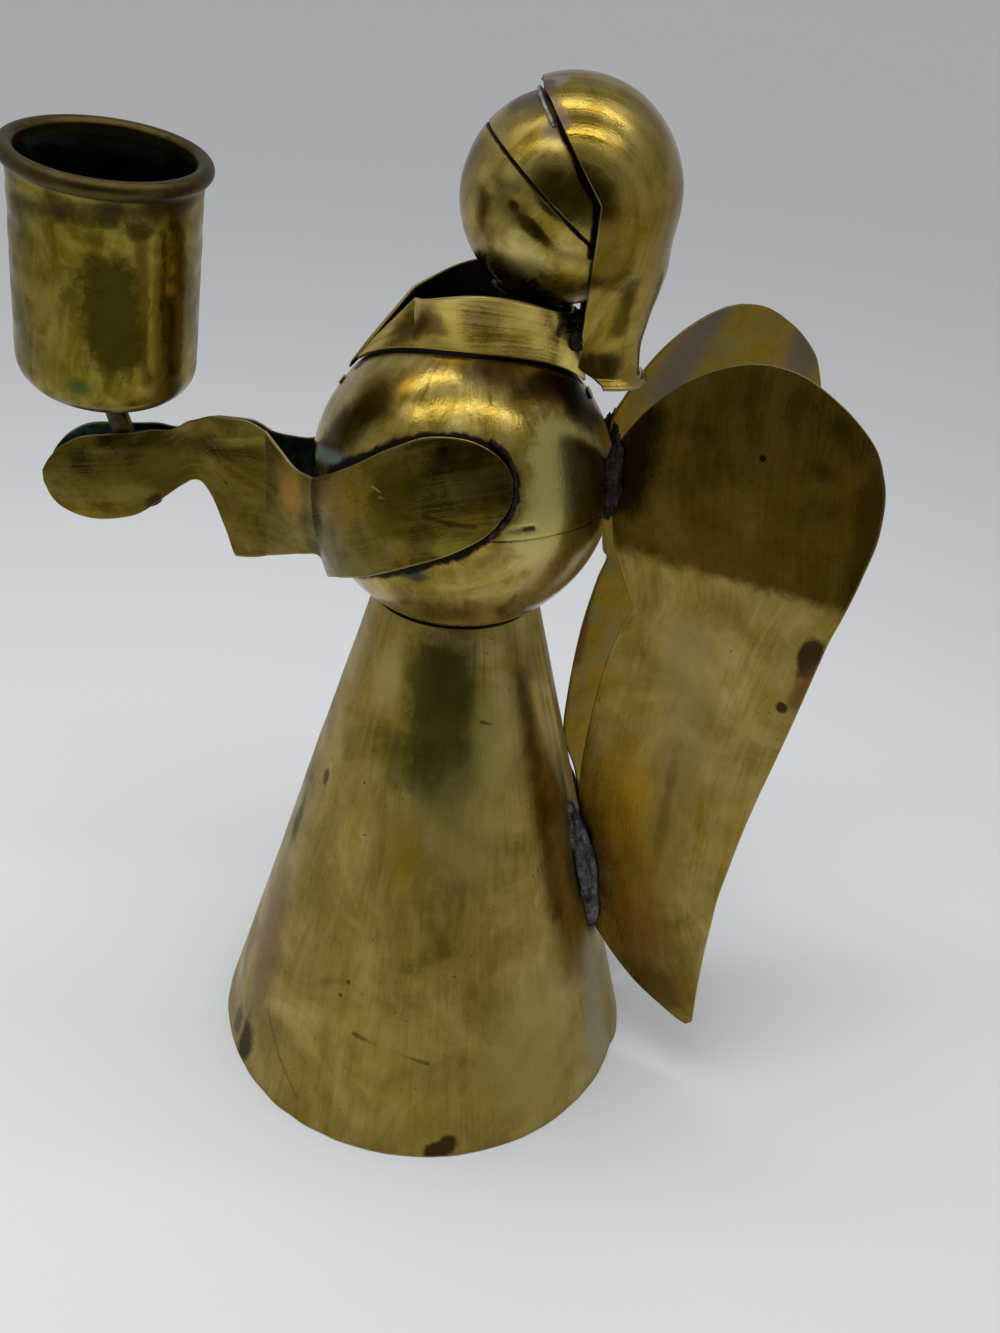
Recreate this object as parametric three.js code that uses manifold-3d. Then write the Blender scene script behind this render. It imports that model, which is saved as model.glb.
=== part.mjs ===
// Brass angel candle holder: a rolled cone skirt, a ball chest and a ball head under a hood of hair,
// two folded sheet arms that hold a candle cup on a rod, and two sheet wings, all soldered together.
// Millimetres, +Z up. The angel looks along -Y and its left side is +X.
// The origin is the centre of the skirt's foot circle, on the ground.
import * as THREE from "three";
import { mergeVertices } from "three/addons/utils/BufferGeometryUtils.js";
import Module from "manifold-3d";

const wasm = await Module();
wasm.setup();

// Sheet stock and joints
const SHEET = 0.8;
const SEAT = 0.3; // clearance that the solder's capillary film fills
const SOLDER_FILLET = 2; // leg of the solder fillets at the neck
const DEGREE = Math.PI / 180;

// Skirt
const FOOT_RADIUS = 60;
const WAIST_RADIUS = 20.4;
const SKIRT_HEIGHT = 142.2;
const LAP_WIDTH = 7;
const WAIST_RUN_WIDTH = 2.2; // of the solder run inside the skirt's top edge
const WAIST_RUN_HEIGHT = 3.4;

// Chest and neck
const CHEST_RADIUS = 36.2;
const BALL_WALL = 1;
const NECK_RADIUS = 6;
const NECK_WALL = 1;
const NECK_LENGTH = 9;

// Head and hair
const HEAD_RADIUS = 21.7;
const HEAD_SET_BACK = 14.1 * DEGREE; // the neck's lean backwards, from the chest's centre
const HEAD_SEAM_TILT = 39 * DEGREE;
const HAIR_STANDOFF = 1.7; // the hood's radius over the head's
const HAIR_SET_BACK = 2.15;
const HAIR_RISE = 1.5;
const HAIR_EDGE_SETBACK = 5.1; // from the hair's centre back to its straight front edge
const HAIR_EDGE_SLOPE = 0.687; // how far the edge runs forward for each mm that it climbs
const HAIR_LENGTH = 38; // from the hair's centre down to its flicked tip
const TAIL_HALF_WIDTH = 10.5;
const TAIL_DEPTH = 14;

// Collar: the bottom edge is a pointed oval on the chest, the top edge a rounder oval above it
const COLLAR_HALF_WIDTH = 14.2;
const COLLAR_HALF_LENGTH = 26;
const COLLAR_TOP_HALF_WIDTH = 19;
const COLLAR_TOP_HALF_LENGTH = 17.5;
const COLLAR_TOP_SET_BACK = 4;
const COLLAR_RISE = 11.3; // the top edge's crown over the chest's top
const COLLAR_SAG = 0.0175; // fall of the top edge for each square mm before and behind its crown
const COLLAR_CUT = 61 * DEGREE; // where the cut front starts, round the bottom edge from the tip
const COLLAR_TOP_CUT = 13.7 * DEGREE; // the same corner, round the top edge
const COLLAR_STANDOFF = 0.8;
const COLLAR_RIGHT_TIP = 2; // the band's right end runs this much further forward

// Arms
const PAD_BOW = 13; // how much flatter than the chest the shoulder pad is bowed, as extra half axis
const PAD_SWEEP = 85 * DEGREE; // from the elbow fold back round the chest to the pad's end
const ELBOW_ANGLE = 66 * DEGREE; // the elbow fold, measured from the side to the front
const ELBOW_SPREAD = 13; // how far the forearm runs forward while the two arms close on the rod
const HAND_REACH = 53.8; // from the wrist to the finger tips
const ARM_DROP = 25.2; // from the chest's centre down to the lower edge at the wrist
const RIGHT_WRIST_DROP = 2; // the right wrist hangs lower than the left
const RIGHT_HAND_RISE = 1.2; // and its finger tips point higher

// Cup and rod
const CUP_RIM_RADIUS = 21.8;
const CUP_RADIUS = 20;
const CUP_FOOT_RADIUS = 19.9;
const CUP_CORNER = 8;
const CUP_CROWN = 1.5; // the bottom is pressed out to a shallow dome
const CUP_HEIGHT = 55;
const CUP_WALL = 1;
const CUP_BEAD = 1.9; // radius of the rolled rim
const CUP_LEAN_LEFT = 7.3 * DEGREE;
const CUP_LEAN_BACK = 6.7 * DEGREE;
const ROD_RADIUS = 2.5;
const ROD_LENGTH = 29.3;
const ROD_LEAN = 18 * DEGREE;
const ROD_DROP = 14.7; // the rod's lower end, below the chest's centre
const ROD_REACH = 28.6; // the rod's lower end, in front of the wrists

// Wings
const WING_SPLAY = 0.455; // sideways run for each mm backwards, in the upper lobe
const WING_ROOT = 9.4; // half the distance between the wings where they meet the chest
const WING_SEAT = 3.2; // how far that line lies in front of the chest's back
const WING_REACH = 53.8; // from the chest's back to the blade's back edge
const WING_RISE = 40.2; // from the chest's centre up to the lobe's top
const WING_TIP_HEIGHT = 22; // of the lower tip over the ground
const WING_TWIST_DROP = 23.2; // this far below the chest's centre the wing starts to twist in
const WING_TWIST_IN = 0.083;
const WING_TIP_SPLAY = 0.576; // the splay at the height of the lower tip
const RIGHT_WING_EXTRA = 5.4; // the right wing's blade is cut this much wider at the front
const RIGHT_LOBE_RISE = 1.3; // and its lobe this much taller

// Solder lumps on the wings' outer faces: half axes, and how far a lump's middle stands off the face
const CHEST_LUMP_HALF_WIDTH = 2.4;
const CHEST_LUMP_HALF_DEPTH = 3;
const CHEST_LUMP_HALF_HEIGHT = 9.5;
const CHEST_LUMP_RISE = 7; // of its middle over the chest's centre
const CHEST_LUMP_STANDOFF = 0.4;
const SKIRT_LUMP_HALF_WIDTH = 3.2;
const SKIRT_LUMP_HALF_DEPTH = 3.6;
const SKIRT_LUMP_HALF_HEIGHT = 19;
const SKIRT_LUMP_STANDOFF = 1.7;

// Facets
const BALL_SEGMENTS = 36;
const HEAD_SEGMENTS = 28;
const CUP_SEGMENTS = 32;
const ROD_SEGMENTS = 16;
const BEAD_SEGMENTS = 10;

// Places that follow from the sizes above
const CHEST_HEIGHT =
  SKIRT_HEIGHT + Math.sqrt((CHEST_RADIUS + SEAT) ** 2 - (WAIST_RADIUS - SHEET) ** 2);
const CHEST_CENTRE = new THREE.Vector3(0, 0, CHEST_HEIGHT);
const NECK_AXIS = new THREE.Vector3(0, Math.sin(HEAD_SET_BACK), Math.cos(HEAD_SET_BACK));
const HEAD_DISTANCE = CHEST_RADIUS + NECK_LENGTH + HEAD_RADIUS;
const HEAD_CENTRE = CHEST_CENTRE.clone().addScaledVector(NECK_AXIS, HEAD_DISTANCE);
const HAIR_RADIUS = HEAD_RADIUS + HAIR_STANDOFF;
const HAIR_CENTRE = HEAD_CENTRE.clone().add(new THREE.Vector3(0, HAIR_SET_BACK, HAIR_RISE));
const UP = new THREE.Vector3(0, 0, 1);
const SIDES = [
  ["left", 1],
  ["right", -1],
];

const brass = (name, colour, roughness) =>
  new THREE.MeshStandardMaterial({ name, color: colour, roughness, metalness: 1 });
const materials = {
  skirt: brass("skirt_brass", 0x9a8440, 0.42),
  ball: brass("ball_brass", 0xa88c3c, 0.25),
  hair: brass("hair_brass", 0xa08638, 0.28),
  wing: brass("wing_brass", 0x8c7a3a, 0.5),
  arm: brass("arm_brass", 0x8e7c38, 0.4),
  collar: brass("collar_brass", 0x9c8242, 0.35),
  cup: brass("cup_brass", 0x9a8038, 0.3),
  rod: brass("rod_brass", 0x5a4a34, 0.55),
  solder: new THREE.MeshStandardMaterial({
    name: "lead_solder",
    color: 0x6c6c68,
    roughness: 0.6,
    metalness: 0.9,
  }),
};

// Keeps only the places and the triangles of a geometry, with shared corners and no slivers.
function welded(geometry) {
  const bare = geometry.clone();
  bare.deleteAttribute("normal");
  bare.deleteAttribute("uv");
  const merged = mergeVertices(bare, 1e-4);
  const kept = [];
  const index = merged.index.array;
  for (let i = 0; i < index.length; i += 3) {
    const [a, b, c] = [index[i], index[i + 1], index[i + 2]];
    if (a !== b && b !== c && c !== a) kept.push(a, b, c);
  }
  merged.setIndex(kept);
  return merged;
}

function solidOf(geometry) {
  const clean = welded(geometry);
  const vertProperties = new Float32Array(clean.attributes.position.array);
  const triVerts = new Uint32Array(clean.index.array);
  return new wasm.Manifold(new wasm.Mesh({ numProp: 3, vertProperties, triVerts }));
}

function geometryOf(solid) {
  const mesh = solid.getMesh();
  const geometry = new THREE.BufferGeometry();
  geometry.setAttribute("position", new THREE.BufferAttribute(mesh.vertProperties, 3));
  geometry.setIndex(new THREE.BufferAttribute(mesh.triVerts, 1));
  geometry.computeVertexNormals();
  return geometry;
}

// A sheet of metal: a grid of points, thickened along its normals from `under` to `over`.
function sheet(point, columns, rows, under = -SHEET / 2, over = SHEET / 2, normalAt = null) {
  const step = 1e-3;
  const normalOf = (u, v) => {
    if (normalAt) return normalAt(u, v);
    const [u0, u1] = [Math.max(0, u - step), Math.min(1, u + step)];
    const [v0, v1] = [Math.max(0, v - step), Math.min(1, v + step)];
    const along = point(u1, v).sub(point(u0, v));
    const across = point(u, v1).sub(point(u, v0));
    return along.cross(across).normalize();
  };
  const places = [];
  for (const offset of [over, under]) {
    for (let j = 0; j <= rows; j++) {
      for (let i = 0; i <= columns; i++) {
        const [u, v] = [i / columns, j / rows];
        places.push(...point(u, v).addScaledVector(normalOf(u, v), offset).toArray());
      }
    }
  }
  const layer = (columns + 1) * (rows + 1);
  const at = (i, j, side) => side * layer + j * (columns + 1) + i;
  const faces = [];
  const quad = (a, b, c, d) => faces.push(a, b, c, a, c, d);
  for (let j = 0; j < rows; j++) {
    for (let i = 0; i < columns; i++) {
      quad(at(i, j, 0), at(i + 1, j, 0), at(i + 1, j + 1, 0), at(i, j + 1, 0));
      quad(at(i, j, 1), at(i, j + 1, 1), at(i + 1, j + 1, 1), at(i + 1, j, 1));
    }
  }
  for (let i = 0; i < columns; i++) {
    quad(at(i, 0, 1), at(i + 1, 0, 1), at(i + 1, 0, 0), at(i, 0, 0));
    quad(at(i, rows, 0), at(i + 1, rows, 0), at(i + 1, rows, 1), at(i, rows, 1));
  }
  for (let j = 0; j < rows; j++) {
    quad(at(0, j, 0), at(0, j + 1, 0), at(0, j + 1, 1), at(0, j, 1));
    quad(at(columns, j, 1), at(columns, j + 1, 1), at(columns, j + 1, 0), at(columns, j, 0));
  }
  const geometry = new THREE.BufferGeometry();
  geometry.setAttribute("position", new THREE.Float32BufferAttribute(places, 3));
  geometry.setIndex(faces);
  geometry.computeVertexNormals();
  return geometry;
}

// A closed body through rings of equal count that turn counter-clockwise seen from above, top ring first.
function loft(rings) {
  const count = rings[0].length;
  const places = rings.flat().flatMap((p) => p.toArray());
  const faces = [];
  for (let r = 0; r + 1 < rings.length; r++) {
    for (let k = 0; k < count; k++) {
      const next = (k + 1) % count;
      const [a, b] = [r * count + k, r * count + next];
      faces.push(a, a + count, b + count, a, b + count, b);
    }
  }
  const capAt = (ring, flip) => {
    const centre = new THREE.Vector3();
    ring.forEach((p) => centre.addScaledVector(p, 1 / count));
    places.push(...centre.toArray());
    const hub = places.length / 3 - 1;
    const first = flip ? (rings.length - 1) * count : 0;
    for (let k = 0; k < count; k++) {
      const pair = [first + k, first + ((k + 1) % count)];
      faces.push(hub, ...(flip ? pair.reverse() : pair));
    }
  };
  capAt(rings[0], false);
  capAt(rings[rings.length - 1], true);
  const geometry = new THREE.BufferGeometry();
  geometry.setAttribute("position", new THREE.Float32BufferAttribute(places, 3));
  geometry.setIndex(faces);
  return geometry;
}

// A turned body with its axis along +Z. The profile holds [radius, height] pairs.
function turned(profile, segments) {
  const points = profile.map(([radius, height]) => new THREE.Vector2(radius, height));
  return new THREE.LatheGeometry(points, segments).rotateX(Math.PI / 2);
}

function arc(radius, from, to, steps, centreRadius = 0, centreHeight = 0) {
  return Array.from({ length: steps + 1 }, (_, k) => {
    const angle = from + ((to - from) * k) / steps;
    const across = centreRadius + radius * Math.cos(angle);
    return [Math.max(0, across), centreHeight + radius * Math.sin(angle)];
  });
}

function ball(centre, radius, segments) {
  const geometry = new THREE.SphereGeometry(radius, segments, segments / 2).rotateX(Math.PI / 2);
  return solidOf(geometry.translate(centre.x, centre.y, centre.z));
}

// A round wire of solder along a curve through the given points.
function wire(points, radius, steps) {
  const section = new THREE.Shape().absarc(0, 0, radius, 0, 2 * Math.PI);
  const extrudePath = new THREE.CatmullRomCurve3(points);
  return solidOf(new THREE.ExtrudeGeometry(section, { curveSegments: 3, steps, extrudePath }));
}

// A rounded lump: a ball with its own half axes, the third turned to the given direction.
function bead(centre, radii, axis = UP) {
  const geometry = new THREE.SphereGeometry(1, BEAD_SEGMENTS, BEAD_SEGMENTS / 2);
  geometry.rotateX(Math.PI / 2).scale(...radii);
  geometry.applyQuaternion(new THREE.Quaternion().setFromUnitVectors(UP, axis));
  return solidOf(geometry.translate(...centre));
}

// The height of a point that stands a little off the chest ball's surface.
const onChest = (x, y, standoff) =>
  CHEST_HEIGHT + Math.sqrt((CHEST_RADIUS + standoff) ** 2 - x * x - y * y);

const group = new THREE.Group();

function add(name, geometry, material, parent = group) {
  const mesh = new THREE.Mesh(geometry, material);
  mesh.name = name;
  parent.add(mesh);
  return mesh;
}

// Skirt: one sheet rolled into a cone, its ends lapped down the back

const skirtRadiusAt = (height) =>
  FOOT_RADIUS + ((WAIST_RADIUS - FOOT_RADIUS) * height) / SKIRT_HEIGHT;

function skirtSheet(over) {
  const columns = 80;
  const rampAngle = 7 * DEGREE;
  const clearOfLap = 5 * DEGREE;
  const angleAt = (u, v) => {
    const half = LAP_WIDTH / 2 / skirtRadiusAt(v * SKIRT_HEIGHT);
    return Math.PI / 2 - half + u * (2 * Math.PI + 2 * half);
  };
  const point = (u, v) => {
    const middle = skirtRadiusAt(v * SKIRT_HEIGHT) - SHEET / 2;
    const lapStart = angleAt(0, v) + 2 * Math.PI - clearOfLap;
    const rise = THREE.MathUtils.smoothstep(angleAt(u, v), lapStart - rampAngle, lapStart);
    const radius = middle + rise * (SHEET + SEAT);
    const angle = angleAt(u, v);
    return new THREE.Vector3(
      radius * Math.cos(angle),
      radius * Math.sin(angle),
      v * SKIRT_HEIGHT,
    );
  };
  const outward = (u, v) => new THREE.Vector3(Math.cos(angleAt(u, v)), Math.sin(angleAt(u, v)), 0);
  return sheet(point, columns, 1, -SHEET / 2, over, outward);
}

function skirt() {
  add("skirt_cone", skirtSheet(SHEET / 2), materials.skirt);
}

// The skirt and its lap as a full cone, to trim what lies on it.
const skirtCone = solidOf(
  turned(
    [
      [0, -SEAT],
      [FOOT_RADIUS + SEAT, -SEAT],
      [FOOT_RADIUS + SEAT, 0],
      [WAIST_RADIUS + SEAT, SKIRT_HEIGHT],
      [0, SKIRT_HEIGHT],
    ],
    80,
  ),
);
const skirtCutter = skirtCone.add(solidOf(skirtSheet(SHEET / 2 + 0.9 * SEAT)));

// Chest and head: two pressed half balls each, butted on a seam

function halfBalls(radius, segments, rows, names, material, parent) {
  const quarter = Math.PI / 2;
  const seam = SEAT / 2 / radius;
  const inner = radius - BALL_WALL;
  const innerSeam = SEAT / 2 / inner;
  const innerRows = Math.ceil(rows / 2);
  const lower = [
    ...arc(radius, -quarter, -seam, rows),
    ...arc(inner, -innerSeam, -quarter, innerRows),
  ];
  const upper = [
    ...arc(inner, quarter, innerSeam, innerRows),
    ...arc(radius, seam, quarter, rows),
  ];
  add(names[0], turned(lower, segments), material, parent);
  add(names[1], turned(upper, segments), material, parent);
}

function chest() {
  const place = new THREE.Group();
  place.position.copy(CHEST_CENTRE);
  group.add(place);
  const names = ["chest_lower_half", "chest_upper_half"];
  halfBalls(CHEST_RADIUS, BALL_SEGMENTS, 8, names, materials.ball, place);
}

function head() {
  const place = new THREE.Group();
  place.position.copy(HEAD_CENTRE);
  place.rotation.x = -HEAD_SEAM_TILT;
  group.add(place);
  const names = ["head_front_half", "head_back_half"];
  halfBalls(HEAD_RADIUS, HEAD_SEGMENTS, 6, names, materials.ball, place);
}

const chestCutter = ball(CHEST_CENTRE, CHEST_RADIUS + SEAT, BALL_SEGMENTS);
const headCutter = ball(HEAD_CENTRE, HEAD_RADIUS + SEAT, BALL_SEGMENTS);

// Neck: a short tube between the two balls, on the line through their centres

function alongNeck(profile, segments) {
  const turn = new THREE.Quaternion().setFromUnitVectors(UP, NECK_AXIS);
  const place = new THREE.Matrix4().compose(CHEST_CENTRE, turn, new THREE.Vector3(1, 1, 1));
  return solidOf(turned(profile, segments).applyMatrix4(place));
}

function neck() {
  const sunk = 2; // both ends run into the balls, which trim them to saddles
  const low = CHEST_RADIUS - sunk;
  const high = CHEST_RADIUS + NECK_LENGTH + sunk;
  const inner = NECK_RADIUS - NECK_WALL;
  const tube = [
    [inner, low],
    [NECK_RADIUS, low],
    [NECK_RADIUS, high],
    [inner, high],
    [inner, low],
  ];
  const solid = alongNeck(tube, ROD_SEGMENTS).subtract(chestCutter).subtract(headCutter);
  add("neck_tube", geometryOf(solid), materials.rod);
}

function neckSolder() {
  const inner = NECK_RADIUS + SEAT;
  const sunk = 1.5;
  const fillet = (foot, top) => [
    [inner, foot],
    [inner + SOLDER_FILLET, foot],
    [inner, top],
    [inner, foot],
  ];
  const chestFace = CHEST_RADIUS;
  const headFace = CHEST_RADIUS + NECK_LENGTH;
  const leg = SOLDER_FILLET + SEAT;
  const lower = alongNeck(fillet(chestFace - sunk, chestFace + leg), ROD_SEGMENTS);
  const upper = alongNeck(fillet(headFace + sunk, headFace - leg).reverse(), ROD_SEGMENTS);
  add("neck_solder_lower", geometryOf(lower.subtract(chestCutter)), materials.solder);
  add("neck_solder_upper", geometryOf(upper.subtract(headCutter)), materials.solder);
}

// Waist solder: a ring run inside the skirt where the chest sits on its top edge

function waistSolder() {
  const outer = WAIST_RADIUS - SHEET - SEAT;
  const inner = outer - WAIST_RUN_WIDTH;
  const innerFoot = SKIRT_HEIGHT - 0.7 * WAIST_RUN_HEIGHT;
  const section = [
    [inner, innerFoot],
    [outer, SKIRT_HEIGHT - WAIST_RUN_HEIGHT],
    [outer, SKIRT_HEIGHT],
    [inner, SKIRT_HEIGHT],
    [inner, innerFoot],
  ];
  const ring = solidOf(turned(section, BALL_SEGMENTS)).subtract(chestCutter);
  add("waist_solder", geometryOf(ring), materials.solder);
}

// Collar: a band that stands on the chest, its front ends cut back to points that meet at the front

// u runs round the band from the front tip over the left side, v from the chest up to the top edge.
function collarPoint(u, v) {
  const slit = 1.2 * DEGREE;
  const turn = slit + u * (2 * Math.PI - 2 * slit);
  const side = turn <= Math.PI ? 1 : -1;
  const angle = Math.min(turn, 2 * Math.PI - turn);
  const longerTip = (a) => (side > 0 ? 0 : COLLAR_RIGHT_TIP * Math.max(0, Math.cos(a)) ** 8);
  const lowAt = (a) => {
    const x = side * COLLAR_HALF_WIDTH * Math.sin(a) ** 2;
    const y = -COLLAR_HALF_LENGTH * Math.cos(a) - longerTip(a);
    return new THREE.Vector3(x, y, onChest(x, y, COLLAR_STANDOFF));
  };
  const topAt = (a) => {
    const round = THREE.MathUtils.mapLinear(a, COLLAR_CUT, Math.PI, COLLAR_TOP_CUT, Math.PI);
    const x = side * COLLAR_TOP_HALF_WIDTH * Math.sin(round);
    const ahead = COLLAR_TOP_HALF_LENGTH * Math.cos(round);
    const crown = CHEST_HEIGHT + CHEST_RADIUS + COLLAR_RISE;
    const z = crown - COLLAR_SAG * ahead ** 2;
    return new THREE.Vector3(x, COLLAR_TOP_SET_BACK - ahead - longerTip(round), z);
  };
  const low = lowAt(angle);
  const tip = lowAt(slit).setZ(lowAt(slit).z + SHEET);
  const top = angle < COLLAR_CUT ? tip.lerp(topAt(COLLAR_CUT), angle / COLLAR_CUT) : topAt(angle);
  return low.lerp(top, v);
}

const collarSheet = (grow) => sheet(collarPoint, 52, 2, -SHEET / 2 - grow, SHEET / 2 + grow);

function collar() {
  add("collar_band", collarSheet(0), materials.collar);
}

// Hair: a hood with a flicked tail, cut open at the front

// Tail rings down from the hair's centre: share of the length, then what is added to the tail's own
// half width and depth, or to the hood's where the tail still grows out of it.
function hairBody(shrink, extra) {
  const edgeY = HAIR_CENTRE.y + HAIR_EDGE_SETBACK;
  const hoodDepth = HAIR_RADIUS - HAIR_EDGE_SETBACK;
  const rings = [
    [0.03, HAIR_RADIUS - 0.8, hoodDepth + 0.1],
    [0.24, HAIR_RADIUS - 3.4, hoodDepth - 0.1],
    [0.45, TAIL_HALF_WIDTH + 4.5, TAIL_DEPTH + 2.6],
    [0.66, TAIL_HALF_WIDTH + 1, TAIL_DEPTH + 0.9],
    [0.83, TAIL_HALF_WIDTH, TAIL_DEPTH],
    [0.93, TAIL_HALF_WIDTH + 0.4, TAIL_DEPTH + 0.3],
    [0.976, TAIL_HALF_WIDTH + 1.6, TAIL_DEPTH + 1.4],
    [1, TAIL_HALF_WIDTH + 3, TAIL_DEPTH + 2.8],
  ].map(([share, halfWidth, depth]) =>
    Array.from({ length: HEAD_SEGMENTS }, (_, k) => {
      const angle = (k * 2 * Math.PI) / HEAD_SEGMENTS;
      const x = (halfWidth - shrink) * Math.cos(angle);
      const y = edgeY + (depth - shrink) * Math.sin(angle);
      const below = share === 1 ? HAIR_LENGTH + extra : share * HAIR_LENGTH;
      return new THREE.Vector3(x, y, HAIR_CENTRE.z - below);
    }),
  );
  return ball(HAIR_CENTRE, HAIR_RADIUS - shrink, HEAD_SEGMENTS).add(solidOf(loft(rings)));
}

// Everything in front of the hair's edge, as a prism across the head.
function hairFront(grow) {
  const [y, z] = [HAIR_CENTRE.y, HAIR_CENTRE.z];
  const bend = 1.5; // over the hair's centre the edge turns from upright to sloping
  const top = HAIR_RADIUS + 6;
  const front = y - 2 * HAIR_RADIUS;
  const edge = y + HAIR_EDGE_SETBACK - grow;
  const tip = z - HAIR_LENGTH;
  const flick = 4; // the edge leaves its line this far over the tip
  const outline = new THREE.Shape([
    new THREE.Vector2(front, z + top),
    new THREE.Vector2(front, tip - flick),
    new THREE.Vector2(edge + 1.5 * flick, tip - flick),
    new THREE.Vector2(edge + 1.5 * flick, tip),
    new THREE.Vector2(edge, tip + flick),
    new THREE.Vector2(edge, z + bend),
    new THREE.Vector2(edge - HAIR_EDGE_SLOPE * (top - bend), z + top),
  ]);
  const width = 2 * (HAIR_RADIUS + TAIL_HALF_WIDTH);
  const prism = new THREE.ExtrudeGeometry(outline, { depth: width, bevelEnabled: false });
  const turn = new THREE.Matrix4().makeBasis(
    new THREE.Vector3(0, 1, 0),
    new THREE.Vector3(0, 0, 1),
    new THREE.Vector3(1, 0, 0),
  );
  return solidOf(prism.translate(0, 0, -width / 2).applyMatrix4(turn));
}

const hairSolid = (grow) =>
  hairBody(-grow, 0)
    .subtract(hairBody(SHEET + grow, 1))
    .subtract(hairFront(grow))
    .subtract(headCutter)
    .subtract(chestCutter);

function hair() {
  add("hair_hood", geometryOf(hairSolid(0)), materials.hair);
}

// Arms: one folded sheet each, a shoulder pad on the chest, a forearm and a palm beside the rod

const PAD_RADIUS = CHEST_RADIUS + SEAT + SHEET / 2;
const PALM_OFFSET = ROD_RADIUS + SEAT + SHEET / 2;
const PAD_REACH = PAD_SWEEP * PAD_RADIUS;
const ELBOW_X = PAD_RADIUS * Math.cos(ELBOW_ANGLE);
const ELBOW_Y = -PAD_RADIUS * Math.sin(ELBOW_ANGLE);
const WRIST_Y = ELBOW_Y - ELBOW_SPREAD;
const RAMP = Math.hypot(ELBOW_X - PALM_OFFSET, ELBOW_SPREAD);

// Stations: the stage, then the lower and the upper edge as heights over the chest's centre, in shares
// of the arm's drop. Stage -1 is the pad's end, 0 the elbow fold, 1 the wrist and 2 the finger tips.
const ARM_STATIONS = [
  [-1, 0.377, 0.556],
  [-0.973, 0.25, 0.659],
  [-0.909, 0.075, 0.778],
  [-0.8, -0.091, 0.857],
  [-0.635, -0.278, 0.837],
  [-0.488, -0.444, 0.702],
  [-0.306, -0.635, 0.448],
  [-0.141, -0.786, 0.238],
  [-0.0164, -0.909, 0.107],
  [-0.009, -0.917, 0.099],
  [0.028, -0.71, 0.091],
  [0.35, -0.77, 0.095],
  [0.7, -0.873, 0.206],
  [1, -0.956, 0.313],
  [1.074, -0.992, 0.397],
  [1.141, -1, 0.413],
  [1.149, -0.992, 0.413],
  [1.195, -0.675, 0.413],
  [1.249, -0.373, 0.405],
  [1.297, -0.238, 0.369],
  [1.342, -0.246, 0.337],
  [1.416, -0.365, 0.238],
  [1.502, -0.516, 0.222],
  [1.595, -0.651, 0.175],
  [1.706, -0.718, 0.139],
  [1.818, -0.722, 0.087],
  [1.911, -0.659, -0.032],
  [1.967, -0.556, -0.159],
  [2, -0.389, -0.278],
];

// Distances along the arm start at the elbow fold, forwards positive.
function alongAt(stage) {
  if (stage < 0) return stage * PAD_REACH;
  return Math.min(stage, 1) * RAMP + Math.max(0, stage - 1) * HAND_REACH;
}

function stageAt(along) {
  if (along < 0) return along / PAD_REACH;
  return Math.min(1, along / RAMP) + Math.max(0, along - RAMP) / HAND_REACH;
}

const ARM_EDGES = new THREE.CatmullRomCurve3(
  ARM_STATIONS.map(
    ([stage, low, high]) => new THREE.Vector3(alongAt(stage), low * ARM_DROP, high * ARM_DROP),
  ),
);

// How much higher the right arm lies than the left at a stage.
function rightArmShift(stage) {
  const { smoothstep } = THREE.MathUtils;
  const wrist = smoothstep(stage, 0.2, 1) * (1 - smoothstep(stage, 1.3, 1.6));
  return RIGHT_HAND_RISE * smoothstep(stage, 1.5, 1.9) - RIGHT_WRIST_DROP * wrist;
}

// The arm's plan: round the chest on a bowed pad, in on a ramp, then straight forward beside the rod.
function armPoint(along, height) {
  const bow = PAD_RADIUS * Math.sqrt(1 - (height / (PAD_RADIUS + PAD_BOW)) ** 2);
  const atFold = new THREE.Vector2(bow * Math.cos(ELBOW_ANGLE), -bow * Math.sin(ELBOW_ANGLE));
  const z = CHEST_HEIGHT + height;
  if (along <= 0) {
    const angle = ELBOW_ANGLE + along / PAD_RADIUS;
    return new THREE.Vector3(bow * Math.cos(angle), -bow * Math.sin(angle), z);
  }
  const wrist = new THREE.Vector2(PALM_OFFSET, WRIST_Y);
  const plan = atFold.lerp(wrist, Math.min(1, along / RAMP));
  plan.y -= Math.max(0, along - RAMP);
  return new THREE.Vector3(plan.x, plan.y, z);
}

function armSheet(side, under = -SHEET / 2, over = SHEET / 2) {
  const point = (u, v) => {
    const { x: along, y: low, z: high } = ARM_EDGES.getPoint(side > 0 ? u : 1 - u);
    const shift = side > 0 ? 0 : rightArmShift(stageAt(along));
    const place = armPoint(along, low + (high - low) * v + shift);
    place.x *= side;
    return place;
  };
  return sheet(point, 2 * (ARM_STATIONS.length - 1), 3, -over, -under);
}

function arms() {
  for (const [name, side] of SIDES) {
    add(`${name}_arm`, armSheet(side), materials.arm);
  }
}

// Candle cup, and the rod that carries it between the palms

const ROD_AXIS = new THREE.Vector3(0, -Math.sin(ROD_LEAN), Math.cos(ROD_LEAN));
const ROD_END = new THREE.Vector3(0, WRIST_Y - ROD_REACH, CHEST_HEIGHT - ROD_DROP);
const CUP_FOOT = ROD_END.clone().addScaledVector(ROD_AXIS, ROD_LENGTH);
const CUP_TURN = new THREE.Quaternion().setFromUnitVectors(
  UP,
  new THREE.Vector3(Math.tan(CUP_LEAN_LEFT), Math.tan(CUP_LEAN_BACK), 1).normalize(),
);
const CUP_FLOOR_RADIUS = CUP_FOOT_RADIUS - CUP_CORNER;

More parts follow.
